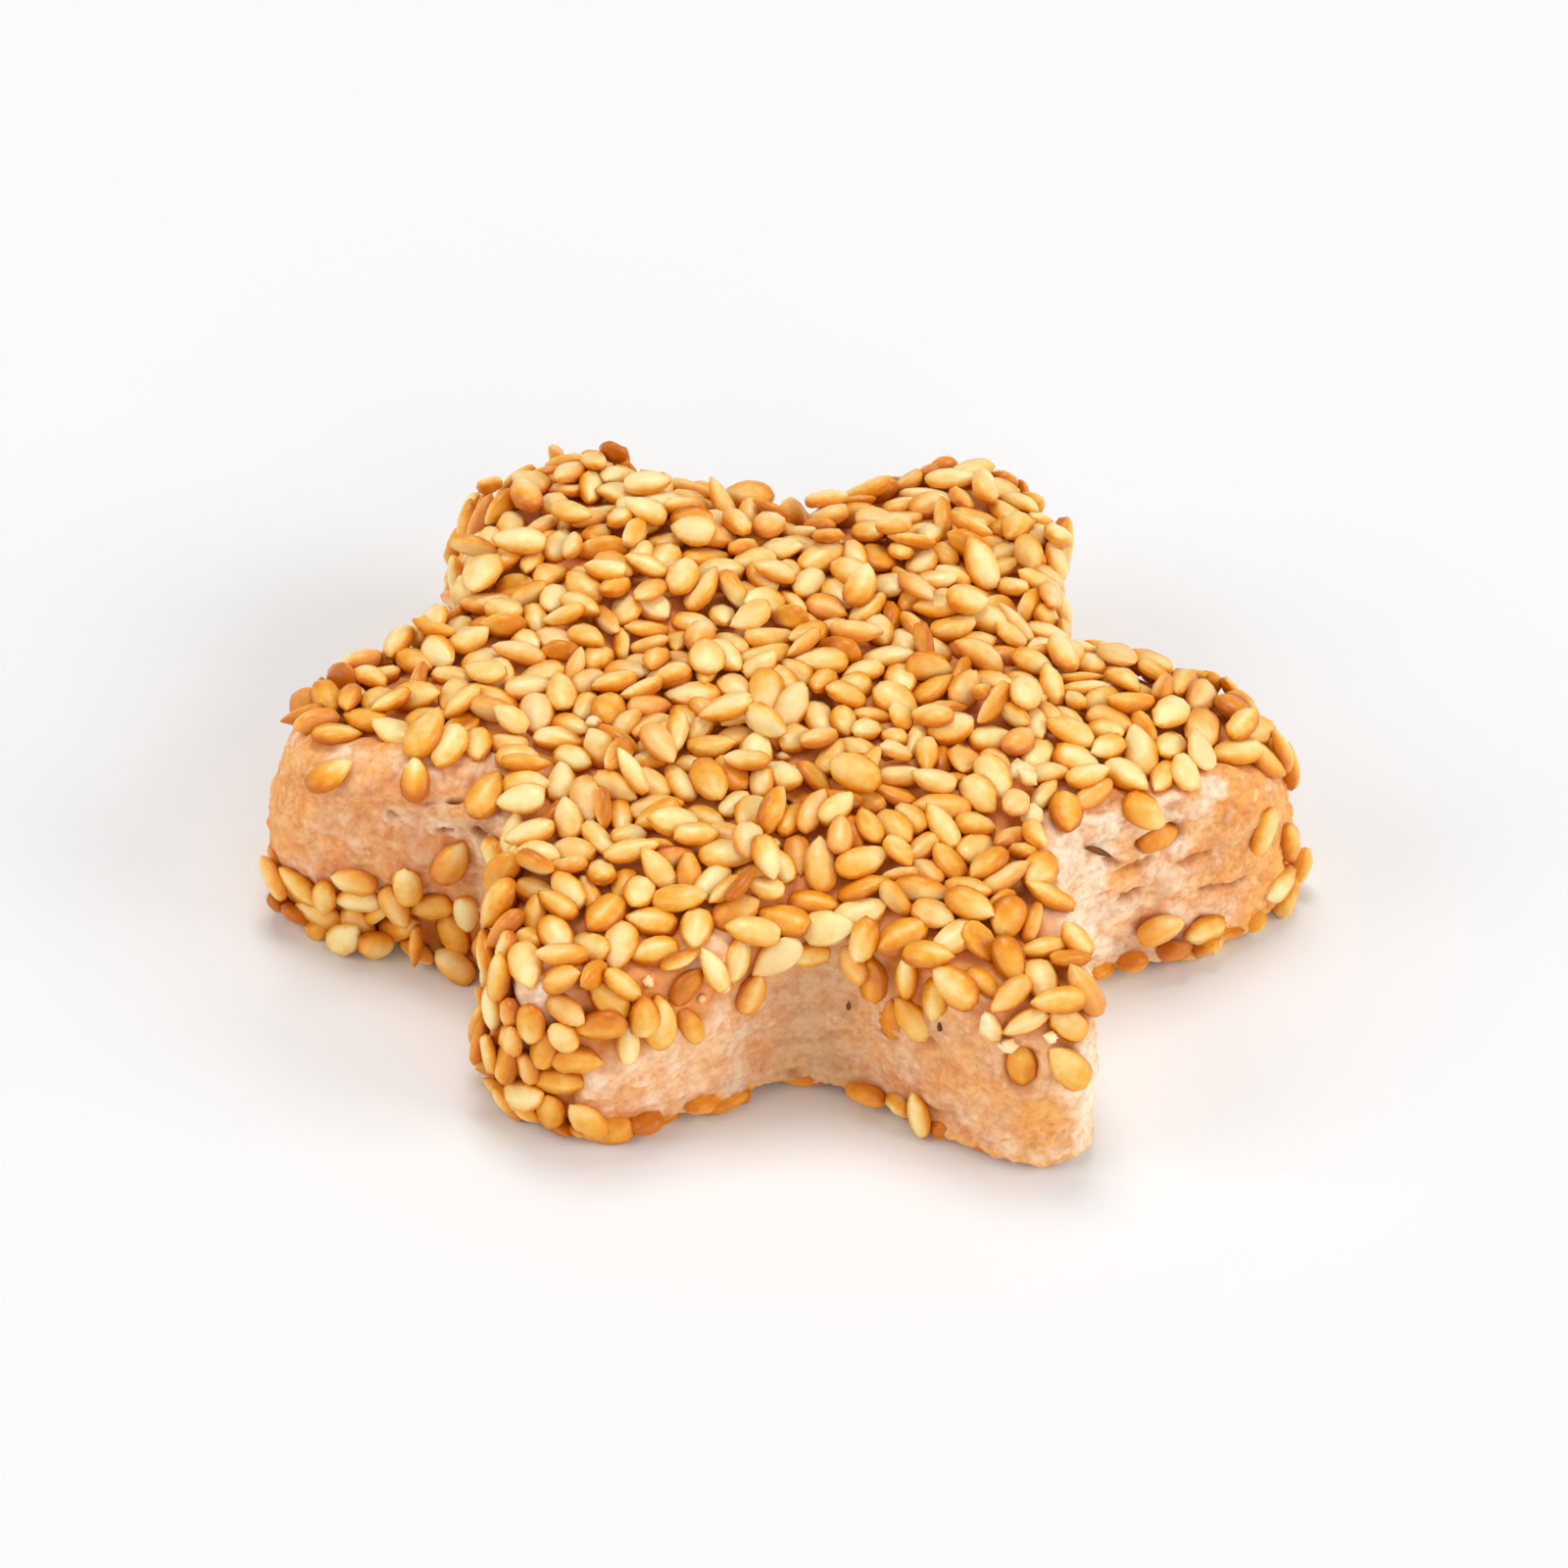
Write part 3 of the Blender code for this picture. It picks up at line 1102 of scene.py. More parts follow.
    def _share(self, places: Array, oval: Dent | Tint) -> Array:
        """Measures how far each place is from the middle of a dent or a tint.

        Args:
            places: the vertices' places, one a row.
            oval: the dent or the tint.

        Returns:
            The distances as a share of its half sizes.
        """
        centre, normal = self.form.spot(oval.turn, oval.down * MM)
        up = np.array((0.0, 0.0, 1.0))
        up = unit(up - (up @ normal) * normal)
        tilt = math.radians(oval.tilt)
        up = math.cos(tilt) * up + math.sin(tilt) * np.cross(normal, up)
        return self._oval(places, centre, up, normal, (oval.up * MM, oval.across * MM))

    def _dents(self, places: Array) -> Array:
        """Cuts the holes and cracks that have places of their own.

        Args:
            places: the vertices' places, one a row.

        Returns:
            How deep they cut at each vertex, in metres.
        """
        depth = np.zeros(len(places))
        for dent in self.dents:
            share = self._share(places, dent)
            depth = np.maximum(depth, dent.depth * MM * (1 - ease(share, *self.dent_edge)))
        return depth

    def _tints(self, places: Array, patches_and_painted_light: Array) -> tuple[Array, Array, Array]:
        """Adds up the tints that have places of their own.

        Args:
            places: the vertices' places, one a row.
            patches_and_painted_light: the uneven patches all over, with painted light and shade on the
                relief, which make the tints' edges uneven.

        Returns:
            How much paler and more golden each vertex is, and how much greyer with painted shade.
        """
        cream, dull, bake = (np.zeros(len(places)) for _ in range(3))
        for tint in self.tints:
            share = self._share(places, tint) - self.tint_unevenness * patches_and_painted_light
            strength = 1 - ease(share, *self.tint_edge)
            cream += tint.cream * strength
            dull += tint.dull * strength
            bake += tint.bake * strength
        return cream, dull, bake


# -------------------------------------------------------------------------------- the seeds


class Kind(Enum):
    """The kinds of bits in the coat. The value is the piece's name."""

    PLUMP = "plump_seeds"
    OVAL = "oval_seeds"
    RIMMED = "rimmed_seeds"
    SLIM = "slim_seeds"
    HULL = "split_hulls"
    CRUMB = "pale_crumbs"
    FLECK = "dark_flecks"
    # A dark sliver for the thin shadow line under seeds at the rim: a painted shadow
    SLIVER = "dark_slivers"


SAME_SPOT = 0.01  # how near two places on a ball of radius 1 are to count as one


@dataclass(frozen=True)
class SeedShape:
    """One kind of bit in the coat, modelled lying flat with its pointed end towards +X."""

    length: float
    width: float
    thickness: float
    share: float  # its share of the coat
    middle: float = -0.20  # where it is widest: -1 at its blunt end, 1 at its tip
    fullness: float = 2.0  # how full its pointed half is: 1 is straight-sided
    dish: float = 0.0  # how far the middle of its upper face is sunk, as a share of its thickness
    hollow_shade: float = 0.0  # painted shade: how much deeper its colour is in the middle of that face
    ragged: float = 0.03  # how uneven each copy is, as a share of its size
    sides: int = 8
    rings: int = 9
    bluntness: float = 2.2  # how full its blunt half is: 1 is straight-sided
    tapering: float = 0.9  # how fast its pointed half narrows
    flatness: float = 0.8  # how soon it thins where it narrows: 1 is as soon as its width
    roundness: float = 1.05  # how much its corners are filled out between its axes

    def model(self) -> "SeedMaster":
        """Models it from a ball, ring by ring.

        Returns:
            The finished mesh, ready to be copied.
        """
        bpy.ops.mesh.primitive_uv_sphere_add(segments=self.sides, ring_count=self.rings, radius=1.0)
        blank = bpy.context.active_object
        select_only(blank)
        bpy.ops.object.mode_set(mode="EDIT")
        bpy.ops.mesh.select_all(action="SELECT")
        bpy.ops.transform.rotate(value=math.pi / 2, orient_axis="Y", center_override=(0, 0, 0))
        for ring in range(1, self.rings):
            self._shape_ring(blank, math.pi * ring / self.rings)
        self._select(blank, lambda place: abs(place.y) > SAME_SPOT and abs(place.z) > SAME_SPOT)
        rounder = (1.0, self.roundness, self.roundness)
        bpy.ops.transform.resize(value=rounder, center_override=(0, 0, 0))
        bpy.ops.mesh.select_all(action="SELECT")
        half = (self.length / 2, self.width / 2, self.thickness / 2)
        bpy.ops.transform.resize(value=half, center_override=(0, 0, 0))
        bpy.ops.object.mode_set(mode="OBJECT")
        mesh = blank.data
        master = SeedMaster.read(mesh, half)
        bpy.data.objects.remove(blank)
        bpy.data.meshes.remove(mesh)
        return master

    def _outline(self, station: float) -> float:
        """Tells how wide it is at one station along it.

        Args:
            station: the place along it, -1 at its blunt end and 1 at its tip.

        Returns:
            The width there as a share of its full width.
        """
        if station < self.middle:
            away = (self.middle - station) / (self.middle + 1)
            return (1 - away**self.bluntness) ** (1 / self.bluntness)
        away = (station - self.middle) / (1 - self.middle)
        return (1 - away**self.fullness) ** self.tapering

    def _shape_ring(self, blank: bpy.types.Object, turn: float) -> None:
        """Brings one of the ball's rings to the outline, and sinks the middle of its upper face.

        Args:
            blank: the ball, lying along X, in edit mode.
            turn: where the ring is, in radians from the tip.
        """
        station, radius = math.cos(turn), math.sin(turn)
        wide = self._outline(station)
        self._select(blank, lambda place: abs(place.x - station) < SAME_SPOT)
        size = (1.0, wide / radius, wide**self.flatness / radius)
        bpy.ops.transform.resize(value=size, center_override=(station, 0, 0))
        if self.dish > 0:
            top = Vector((station, 0.0, wide**self.flatness))
            self._select(blank, lambda place: (place - top).length < SAME_SPOT)
            sunk = -2 * self.dish * (1 - station**4)
            bpy.ops.transform.translate(value=(0.0, 0.0, sunk))

    @staticmethod
    def _select(blank: bpy.types.Object, wanted: Callable[[Vector], bool]) -> None:
        """Selects some of the vertices.

        Args:
            blank: the object, in edit mode.
            wanted: tells from a vertex's place whether to select it.
        """
        cage = bmesh.from_edit_mesh(blank.data)
        for vertex in cage.verts:
            vertex.select_set(bool(wanted(vertex.co)))
        cage.select_flush_mode()
        bmesh.update_edit_mesh(blank.data)


@dataclass
class SeedMaster:
    """The mesh of one kind of bit, ready to be copied."""

    places: Array
    faces: list[tuple[int, ...]]
    half: Triple
    along: Array  # where each vertex is along it, -1 at its blunt end and 1 at its tip
    rim: Array  # how near each vertex is to its rim, 0 to 1
    above: Array  # how high each vertex is, -1 on its underside and 1 on its upper face

    @classmethod
    def read(cls, mesh: bpy.types.Mesh, half: Triple) -> "SeedMaster":
        """Takes the finished mesh, and works out how near each vertex is to its rim.

        Args:
            mesh: the mesh of one bit, lying flat along X.
            half: its half length, half width and half thickness, in metres.

        Returns:
            The master.
        """
        same_ring = 0.02
        places = vertex_array(mesh)
        along = places[:, 0] / half[0]
        rings = [places[np.abs(along - spot) < same_ring, 1] for spot in along]
        widest = np.array([np.abs(ring).max() for ring in rings])
        across = np.abs(places[:, 1]) / np.maximum(widest, 0.02 * half[1])
        rim = np.maximum(across, np.abs(along) ** 4)
        # Sorted, because a ball's faces come in another order each time that it is made
        faces = sorted(tuple(face.vertices) for face in mesh.polygons)
        return cls(places, faces, half, along, rim, places[:, 2] / half[2])


SHAPES = {
    Kind.PLUMP: SeedShape(3.20 * MM, 2.02 * MM, 1.25 * MM, 0.44, fullness=2.4),
    Kind.OVAL: SeedShape(2.90 * MM, 1.95 * MM, 1.10 * MM, 0.20, middle=-0.10, fullness=2.8),
    Kind.RIMMED: SeedShape(3.20 * MM, 2.10 * MM, 0.95 * MM, 0.17, fullness=2.1, dish=0.08),
    Kind.SLIM: SeedShape(3.25 * MM, 1.52 * MM, 1.05 * MM, 0.15, middle=-0.12),
    Kind.HULL: SeedShape(3.00 * MM, 1.95 * MM, 0.90 * MM, 0.008, dish=0.46, hollow_shade=0.40),
    Kind.CRUMB: SeedShape(1.15 * MM, 0.95 * MM, 0.70 * MM, 0.012, ragged=0.16),
    Kind.FLECK: SeedShape(0.75 * MM, 0.32 * MM, 0.30 * MM, 0.004, ragged=0.10, sides=6, rings=7),
    Kind.SLIVER: SeedShape(3.40 * MM, 0.55 * MM, 0.40 * MM, 0.0, ragged=0.06, sides=6, rings=7),
}

DARK_KINDS = (Kind.FLECK, Kind.SLIVER)

CRUMB_FINISH = SeedFinish(
    "pale_crumb",
    palest=tone(255, 236, 190),
    pale=tone(252, 220, 158),
    golden=tone(246, 198, 122),
    amber=tone(234, 170, 88),
    brown=tone(190, 116, 48),
    roughness=0.6,
    gloss=0.2,
)
# Dark sesame for the flecks, and the painted shadow of the sliver
DARK_FINISH = SeedFinish(
    "dark_sesame",
    palest=tone(126, 70, 34),
    pale=tone(104, 54, 24),
    golden=tone(82, 40, 18),
    amber=tone(60, 30, 14),
    brown=tone(36, 20, 12),
    blush=tone(60, 30, 20),
    roughness=0.55,
    gloss=0.15,
)


def finish_of(kind: Kind) -> SeedFinish:
    """Picks a finish.

    Args:
        kind: the kind of bit.

    Returns:
        The finish that this kind has.
    """
    if kind is Kind.CRUMB:
        return CRUMB_FINISH
    return DARK_FINISH if kind in DARK_KINDS else SeedFinish(kind.value)


@dataclass(frozen=True)
class Placed:
    """A bit that lies in a place of its own."""

    turn: float  # degrees round from +X
    down: float  # millimetres down the way from the crown, 0 at the top of the sides
    heading: float  # degrees that its pointed end is turned from up the way, counter-clockwise
    kind: Kind
    toast: float  # 0 is palest and 1 is brown
    sink: float = 0.5  # how deep it sits, as a share of half its thickness
    size: float = 1.0  # as a share of its kind's own size


PLACED = (
    # The left point: a bare slope with a few seeds on it
    Placed(184.3, -4.1, 10, Kind.RIMMED, 0.42, 0.2, 1.05),
    Placed(191.1, -1.8, 25, Kind.PLUMP, 0.50, 0.5),
    Placed(196.4, -3.3, 78, Kind.PLUMP, 0.62, 0.4, 0.92),
    Placed(204.0, -2.1, 50, Kind.PLUMP, 0.56, 0.3, 1.12),
    Placed(212.1, -0.5, 15, Kind.SLIM, 0.18, 0.3),
    Placed(187.1, -11.1, 215, Kind.HULL, 0.22, 0.1),
    Placed(183.8, -9.5, 35, Kind.PLUMP, 0.34),
    Placed(186.0, -7.4, 140, Kind.RIMMED, 0.16, 0.8),
    Placed(181.5, -5.5, 140, Kind.PLUMP, 0.52, 0.2),
    Placed(178.4, -1.0, 165, Kind.SLIM, 0.86, 0.0, 0.9),
    Placed(193.4, -11.2, 150, Kind.OVAL, 0.36),
    Placed(203.6, 2.6, -28, Kind.PLUMP, 0.60, 0.2, 1.05),
    Placed(200.0, 4.5, 5, Kind.OVAL, 0.36, 0.2),
    Placed(196.0, 5.0, 85, Kind.OVAL, 0.46, 0.3),
    # The lower left point
    Placed(244.6, 1.8, 108, Kind.PLUMP, 0.72, 0.2, 1.08),
    Placed(247.8, 3.3, 0, Kind.SLIM, 0.24, 0.2),
    Placed(251.2, 2.5, 0, Kind.PLUMP, 0.34, 0.4, 1.10),
    Placed(254.7, 3.4, 25, Kind.SLIM, 0.58, 1.1),
    Placed(242.4, 4.6, -88, Kind.PLUMP, 0.62, 0.3),
    Placed(240.6, 6.7, -92, Kind.PLUMP, 0.58, 0.9, 1.05),
    Placed(243.4, 8.9, 35, Kind.PLUMP, 0.44, 0.3),
    Placed(239.0, 9.0, 0, Kind.OVAL, 0.60, 0.3),
    Placed(246.2, -1.2, -82, Kind.SLIM, 0.40),
    Placed(248.9, -1.3, 30, Kind.CRUMB, 0.10, 0.2, 0.7),
    Placed(245.2, 0.2, 80, Kind.RIMMED, 0.46, 0.3),
    Placed(256.6, -0.3, 48, Kind.SLIM, 0.20, 0.1),
    Placed(260.4, -0.1, 5, Kind.OVAL, 0.20, 0.9),
    Placed(262.5, 2.5, -25, Kind.PLUMP, 0.60, 0.7, 0.9),
    Placed(258.9, 1.6, 90, Kind.CRUMB, 0.05, 0.4, 0.7),
    Placed(256.2, 1.9, 20, Kind.CRUMB, 0.22, 0.5, 0.6),
    Placed(254.3, 0.6, -35, Kind.OVAL, 0.96, 0.6, 0.95),
    Placed(252.7, -3.8, 195, Kind.PLUMP, 0.36),
    Placed(245.4, -6.3, 110, Kind.PLUMP, 0.46),
    Placed(247.7, -3.7, 130, Kind.PLUMP, 0.50),
    Placed(242.9, -4.5, 200, Kind.RIMMED, 0.26, 0.3, 1.1),
    Placed(238.7, -4.6, 80, Kind.RIMMED, 0.30),
    # The notch between the lower two points
    Placed(266.6, -1.3, 70, Kind.RIMMED, 0.66, 0.5, 1.1),
    Placed(271.0, 0.5, 90, Kind.OVAL, 0.52, 1.2),
    Placed(274.3, -0.4, -90, Kind.RIMMED, 0.08, 0.3, 1.05),
    Placed(278.2, 0.5, 60, Kind.OVAL, 0.46, 1.5),
    # Its deep toast is painted shade from the seeds over it
    Placed(280.7, 1.3, 10, Kind.PLUMP, 0.86, 1.2),
    Placed(280.2, -2.3, -90, Kind.RIMMED, 0.20, 0.4, 1.1),
    Placed(285.2, -2.3, 92, Kind.OVAL, 0.66, 0.3, 1.2),
    Placed(284.4, 0.1, 2, Kind.SLIM, 0.46, 0.1),
    Placed(287.1, 0.0, 18, Kind.SLIM, 0.30, 0.1),
    Placed(289.8, -0.9, 28, Kind.PLUMP, 0.42, 0.2, 1.12),
    Placed(285.4, 2.9, 55, Kind.PLUMP, 0.50, 1.1),
    Placed(283.2, 3.8, 15, Kind.PLUMP, 0.84, 1.6),
    Placed(278.2, 3.9, 0, Kind.FLECK, 0.10, 0.4, 0.9),
    Placed(288.3, 2.3, 10, Kind.FLECK, 0.10, 0.4, 0.95),
    # The lower right point
    Placed(295.1, 3.25, 4, Kind.OVAL, 0.72, 1.0, 1.06),
    Placed(292.8, 0.7, 20, Kind.CRUMB, 0.30, 0.2, 1.6),
    Placed(294.0, 1.7, 80, Kind.CRUMB, 0.20, 0.2, 1.1),
    Placed(295.6, 0.2, 95, Kind.SLIM, 0.28, 0.0, 0.92),
    Placed(298.0, 0.9, 60, Kind.CRUMB, 0.15, -0.2, 0.8),
    Placed(300.2, -1.0, 25, Kind.OVAL, 0.36, 0.3),
    Placed(299.6, 2.8, 35, Kind.PLUMP, 0.38, 0.4, 1.05),
    Placed(297.9, -5.5, 170, Kind.PLUMP, 0.74),
    Placed(295.8, -6.4, 190, Kind.HULL, 0.38),
    Placed(300.1, -4.0, 160, Kind.RIMMED, 0.20, 0.3, 1.05),
    Placed(303.7, -5.6, 80, Kind.SLIM, 0.42),
    Placed(292.4, -5.5, 100, Kind.PLUMP, 0.20, 0.3, 1.05),
    # The right point: a torn slope with seeds baked into it
    # A dark sliver for the shadow line under the seeds at the rim: a painted shadow
    Placed(330.9, 0.2, -128, Kind.SLIVER, 0.05, -0.3, 0.80),
    Placed(338.5, -0.9, 180, Kind.PLUMP, 0.44, 1.45, 1.05),
    Placed(339.8, 1.1, -90, Kind.PLUMP, 0.66, 0.7, 0.95),
    Placed(352.0, 3.4, -25, Kind.OVAL, 0.34, 1.0, 1.15),
    Placed(356.1, -1.6, 175, Kind.PLUMP, 0.48, 0.3),
    Placed(354.8, -3.7, 20, Kind.RIMMED, 0.38, 0.3, 1.15),
    Placed(357.5, -6.2, 80, Kind.PLUMP, 0.46, 0.1, 1.2),
    Placed(347.6, -3.9, -75, Kind.OVAL, 0.12, 0.4),
    Placed(345.5, -4.1, 75, Kind.SLIM, 0.40, 0.3),
    Placed(343.0, -4.8, 140, Kind.PLUMP, 0.26, 0.2, 1.1),
    Placed(335.1, -2.7, 55, Kind.SLIM, 0.48, 0.2),
    Placed(328.2, -1.6, 118, Kind.PLUMP, 0.66, 0.2, 1.05),
    Placed(339.5, 7.3, -85, Kind.PLUMP, 0.36, 0.3),
    Placed(344.1, 8.4, 95, Kind.OVAL, 0.42, 0.4),
    Placed(329.8, -5.4, 70, Kind.CRUMB, 0.22, -1.2, 1.5),
    Placed(328.4, -4.6, 10, Kind.CRUMB, 0.30, -0.8, 1.1),
    Placed(322.2, -2.8, 120, Kind.CRUMB, 0.20, -0.8, 1.5),
    Placed(8.2, -4.4, 70, Kind.PLUMP, 0.52, -0.3, 1.05),
    Placed(2.6, -3.6, 135, Kind.PLUMP, 0.97, -0.6, 0.95),
    # The back rim
    Placed(99.3, -2.4, 20, Kind.FLECK, 0.30, -5.0, 1.2),
    Placed(67.5, -2.2, -20, Kind.FLECK, 0.30, -5.0, 1.2),
)


@dataclass(frozen=True)
class ToastAndShade:
    """How toasted the seeds are, and how much painted shade darkens them, on a scale from 0, palest, to
    1, brown.
    """

    middle: float = 0.275
    at_points: float = 0.08  # how much more in the points than in the notches
    at_base: float = 0.10  # how much more at the base than at the crown
    at_back: float = -0.11  # how much more at the back than in the middle
    scatter: float = 0.125
    dark_share: float = 0.07  # the share of seeds that are well toasted
    dark_extra: float = 0.26
    shaded: float = 0.40  # painted shade: how much deeper a seed is painted where others cover it
    shaded_under: float = 0.7  # the share of that which the cookie's underside goes without
    underside: Pair = (0.0, 0.4)  # how far down a normal points where that starts and is full
    heart: Pair = (-0.40, 0.20)  # how much deeper the heart is than the rim, mean and scatter: mostly a paler heart and deeper rim, part toasted rim, part painted highlight in the middle and painted shade at the rim
    slant: Pair = (-0.10, 0.17)  # how much deeper the tip is than the middle: mean and scatter
    blush: Pair = (-0.50, 0.26)  # from the least to the most, of which less than 0 is none
    blush_gone: Pair = (0.50, 0.80)  # over which toast the blush fades away


@dataclass
class Crowd:
    """Many bits at once: where each lies, how it is turned, how big and how toasted it is."""

    place: Array
    normal: Array
    kind: Array
    half: Array
    coated: Array
    rng: np.random.Generator
    toast_and_shade: ToastAndShade = ToastAndShade()
    # How the bits are turned at first
    sides: float = 0.6  # how far up or down a side's normal points, at most
    upright_share: float = 0.7  # the share of those on the sides that point up
    upright_pull: float = 1.6
    foot_level: float = 2.5 * MM
    foot_pull: float = 0.1  # the share of that pull which is left at the foot
    uphill: float = 20 * MM  # how strongly the way up counts against the way in, on a slope
    loose_share: float = 0.13
    edge_on_share: float = 0.09
    curl: float = 0.18  # how far a seed's ends are bent, as a share of half its thickness
    sunk: Pair = (0.1, 0.8)  # how deep the seeds of the coat sit, from the least to the most
    sunk_strays: float = 0.75
    # How they push each other apart: each is three balls in a row
    ball_offsets: Triple = (-0.60, 0.0, 0.58)
    ball_widths: Triple = (0.95, 1.0, 0.68)
    softness: float = 0.35  # the share of an overlap that one step clears
    closeness: float = 0.80  # the share of its width that a bit keeps to itself
    push_reach: float = 3.7 * MM
    longest_step: float = 0.35 * MM
    largest_turn: float = 0.3
    # How they come to rest
    look_above: float = 2.5 * MM
    look_below: float = 2.5 * MM
    nothing_there: float = -2 * MM
    neighbours: float = 4 * MM
    nesting: float = 0.90  # how big the bits already laid count as, as a share of their size
    placed_nesting: float = 0.25  # how deep placed bits sink into others, in half thicknesses
    wobble: float = 0.24
    placed_wobble: float = 0.04
    base: float = -0.5  # how far up the base's normals point, at most
    steepest_under: float = 0.3  # the steepest slope that a bit under the base may lie at
    spring: float = 0.40 * MM  # how much lower a rest has to be for a slope of 1 off its lean
    surface: Array = field(init=False)
    heading: Array = field(init=False)
    axes: Array = field(init=False)
    toast: Array = field(init=False)
    heart: Array = field(init=False)
    shaded: Array = field(init=False)
    slant: Array = field(init=False)
    blush: Array = field(init=False)
    bend: Array = field(init=False)
    held: Array = field(init=False)
    loose: Array = field(init=False)
    edge_on: Array = field(init=False)
    dropped: Array = field(init=False)
    sink: Array = field(init=False)

    def __post_init__(self) -> None:
        """Turns each bit at random, stands a few on edge, and picks those that lie on the rest."""
        count, rng = len(self.place), self.rng
        self.held = np.arange(count) < len(PLACED)
        self.heading = rng.normal(size=(count, 3))
        points_up = rng.random(count) < self.upright_share
        upright = np.where(points_up, self.upright_pull, -self.upright_pull)
        upright[self.place[:, 2] < self.foot_level] *= self.foot_pull
        self.heading[:, 2] += np.where(np.abs(self.normal[:, 2]) < self.sides, upright, 0.0)
        self._head_placed()
        self.square_up()
        self.bend = rng.normal(0.0, self.curl, count)
        self.edge_on = (rng.random(count) < self.edge_on_share) & ~self.held
        self.loose = (rng.random(count) < self.loose_share) & self.coated
        self.half[self.edge_on] = self.half[self.edge_on][:, [0, 2, 1]]
        self.sink = np.where(self.coated, rng.uniform(*self.sunk, count), self.sunk_strays)
        self.sink[self.held] = [seed.sink for seed in PLACED]
        self.axes = np.zeros((count, 3, 3))
        self.dropped = np.zeros(count, dtype=bool)

    def _head_placed(self) -> None:
        """Turns the bits with places of their own the way that they are said to point."""
        for number, seed in enumerate(PLACED):
            place, normal = self.place[number], self.normal[number]
            upward = -place * normal[2] + np.array((0.0, 0.0, self.uphill * (1 - normal[2])))
            upward = unit(upward - (upward @ normal) * normal)
            angle = math.radians(seed.heading)
            across = np.cross(normal, upward)
            self.heading[number] = math.cos(angle) * upward + math.sin(angle) * across

    def square_up(self) -> None:
        """Brings each heading back into the plane that its bit lies in."""
        away = (self.heading * self.normal).sum(axis=1, keepdims=True)
        self.heading = unit(self.heading - away * self.normal)

    def spread(self) -> None:
        """Takes one step apart: each bit is three balls in a row, and balls that overlap push."""
        offsets = np.array(self.ball_offsets)
        widths = self.closeness * np.array(self.ball_widths)
        arms = offsets * self.half[:, :1]
        balls = self.place[:, None] + arms[:, :, None] * self.heading[:, None]
        radii = widths * self.half[:, 1:2]
        apart = ((self.place[:, None] - self.place[None]) ** 2).sum(axis=2)
        first, second = np.nonzero(apart < self.push_reach**2)
        real = (first != second) & ~self.loose[first] & ~self.loose[second]
        first, second = first[real], second[real]
        gap = balls[first][:, :, None] - balls[second][:, None]
        distance = np.maximum(np.linalg.norm(gap, axis=3), TINY)
        overlap = radii[first][:, :, None] + radii[second][:, None] - distance
        push = (self.softness * 0.5 * np.maximum(overlap, 0.0) / distance)[..., None] * gap
        by_ball = push.sum(axis=2)
        shift = np.zeros_like(self.place)
        turn = np.zeros_like(self.place)
        np.add.at(shift, first, by_ball.sum(axis=1))
        np.add.at(turn, first, (by_ball * arms[first][:, :, None]).sum(axis=1))
        size = np.linalg.norm(shift, axis=1, keepdims=True)
        shorter = np.minimum(1.0, self.longest_step / np.maximum(size, TINY))
        self.place = self.place + shift * shorter
        turned = turn / (0.5 * self.half[:, :1] ** 2)
        turned = turned.clip(-self.largest_turn, self.largest_turn)
        self.heading = self.heading + np.where(self.held[:, None], 0.0, turned)

    def settle(self, dough: BVHTree, steepest: float, highest: float) -> None:
        """Lays the bits down one after another, each on the dough and on those already there.

        Args:
            dough: the dough's surface.
            steepest: the steepest slope that a bit may lie at.
            highest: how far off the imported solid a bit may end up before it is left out.
        """
        self.surface = self.place.copy()
        spots, under = self._footprint()
        side = np.cross(self.normal, self.heading)
        laid: list[int] = []
        for number in self._queue():
            half, normal = self.half[number], self.normal[number]
            frame_axes = np.stack([self.heading[number], side[number], normal])
            grid = spots * half[:2]
            starts = self.place[number] + grid @ frame_axes[:2]
            ground = self._ground(dough, starts, normal)
            tops = self._tops(starts, normal, laid)
            if self.held[number]:
                tops -= self.placed_nesting * half[2]
            needed = np.maximum(ground - half[2] * self.sink[number], tops) + under * half[2]
            wobble = self.placed_wobble if self.held[number] else self.wobble
            lean = self.rng.normal(0.0, wobble, 2)
            flatter = steepest if normal[2] > self.base else self.steepest_under
            height, slope = self._rest(grid, needed, lean, flatter)
            if height > highest and not self.held[number]:
                self.dropped[number] = True
                continue
            self._lay(number, frame_axes, height, slope)
            laid.append(number)
        self._keep_off_the_table()

    def _queue(self) -> Array:
        """The order to lay the bits in: those with places of their own, the rest, the loose ones."""
        groups = (self.held, ~self.held & ~self.loose, ~self.held & self.loose)
        return np.concatenate([self.rng.permutation(np.flatnonzero(group)) for group in groups])

    @staticmethod
    def _footprint() -> tuple[Array, Array]:
        """Picks the spots under a bit that its rest is found by: its middle and two rings.

        Returns:
            The spots as shares of its half sizes, and how far its underside is below its middle
            at each, as a share of half its thickness.
        """
        spots = [(0.0, 0.0)]
        for radius, count in ((0.5, 6), (0.88, 12)):
            turns = [math.tau * step / count for step in range(count)]
            spots += [(radius * math.cos(turn), radius * math.sin(turn)) for turn in turns]
        found = np.array(spots)
        return found, np.sqrt(1 - (found**2).sum(axis=1))

    def _ground(self, dough: BVHTree, starts: Array, normal: Array) -> Array:
        """Finds the dough under a bit.

        Args:
            dough: the dough's surface.
            starts: the spots under the bit, one a row.
            normal: the way that the bit faces.

        Returns:
            The dough's height at each spot, along the normal.
        """
        heights = []
        for start in starts + self.look_above * normal:
            hit = dough.ray_cast(Vector(start), Vector(-normal), self.look_above + self.look_below)
            heights.append(self.look_above - hit[3] if hit[0] is not None else self.nothing_there)
        return np.array(heights)

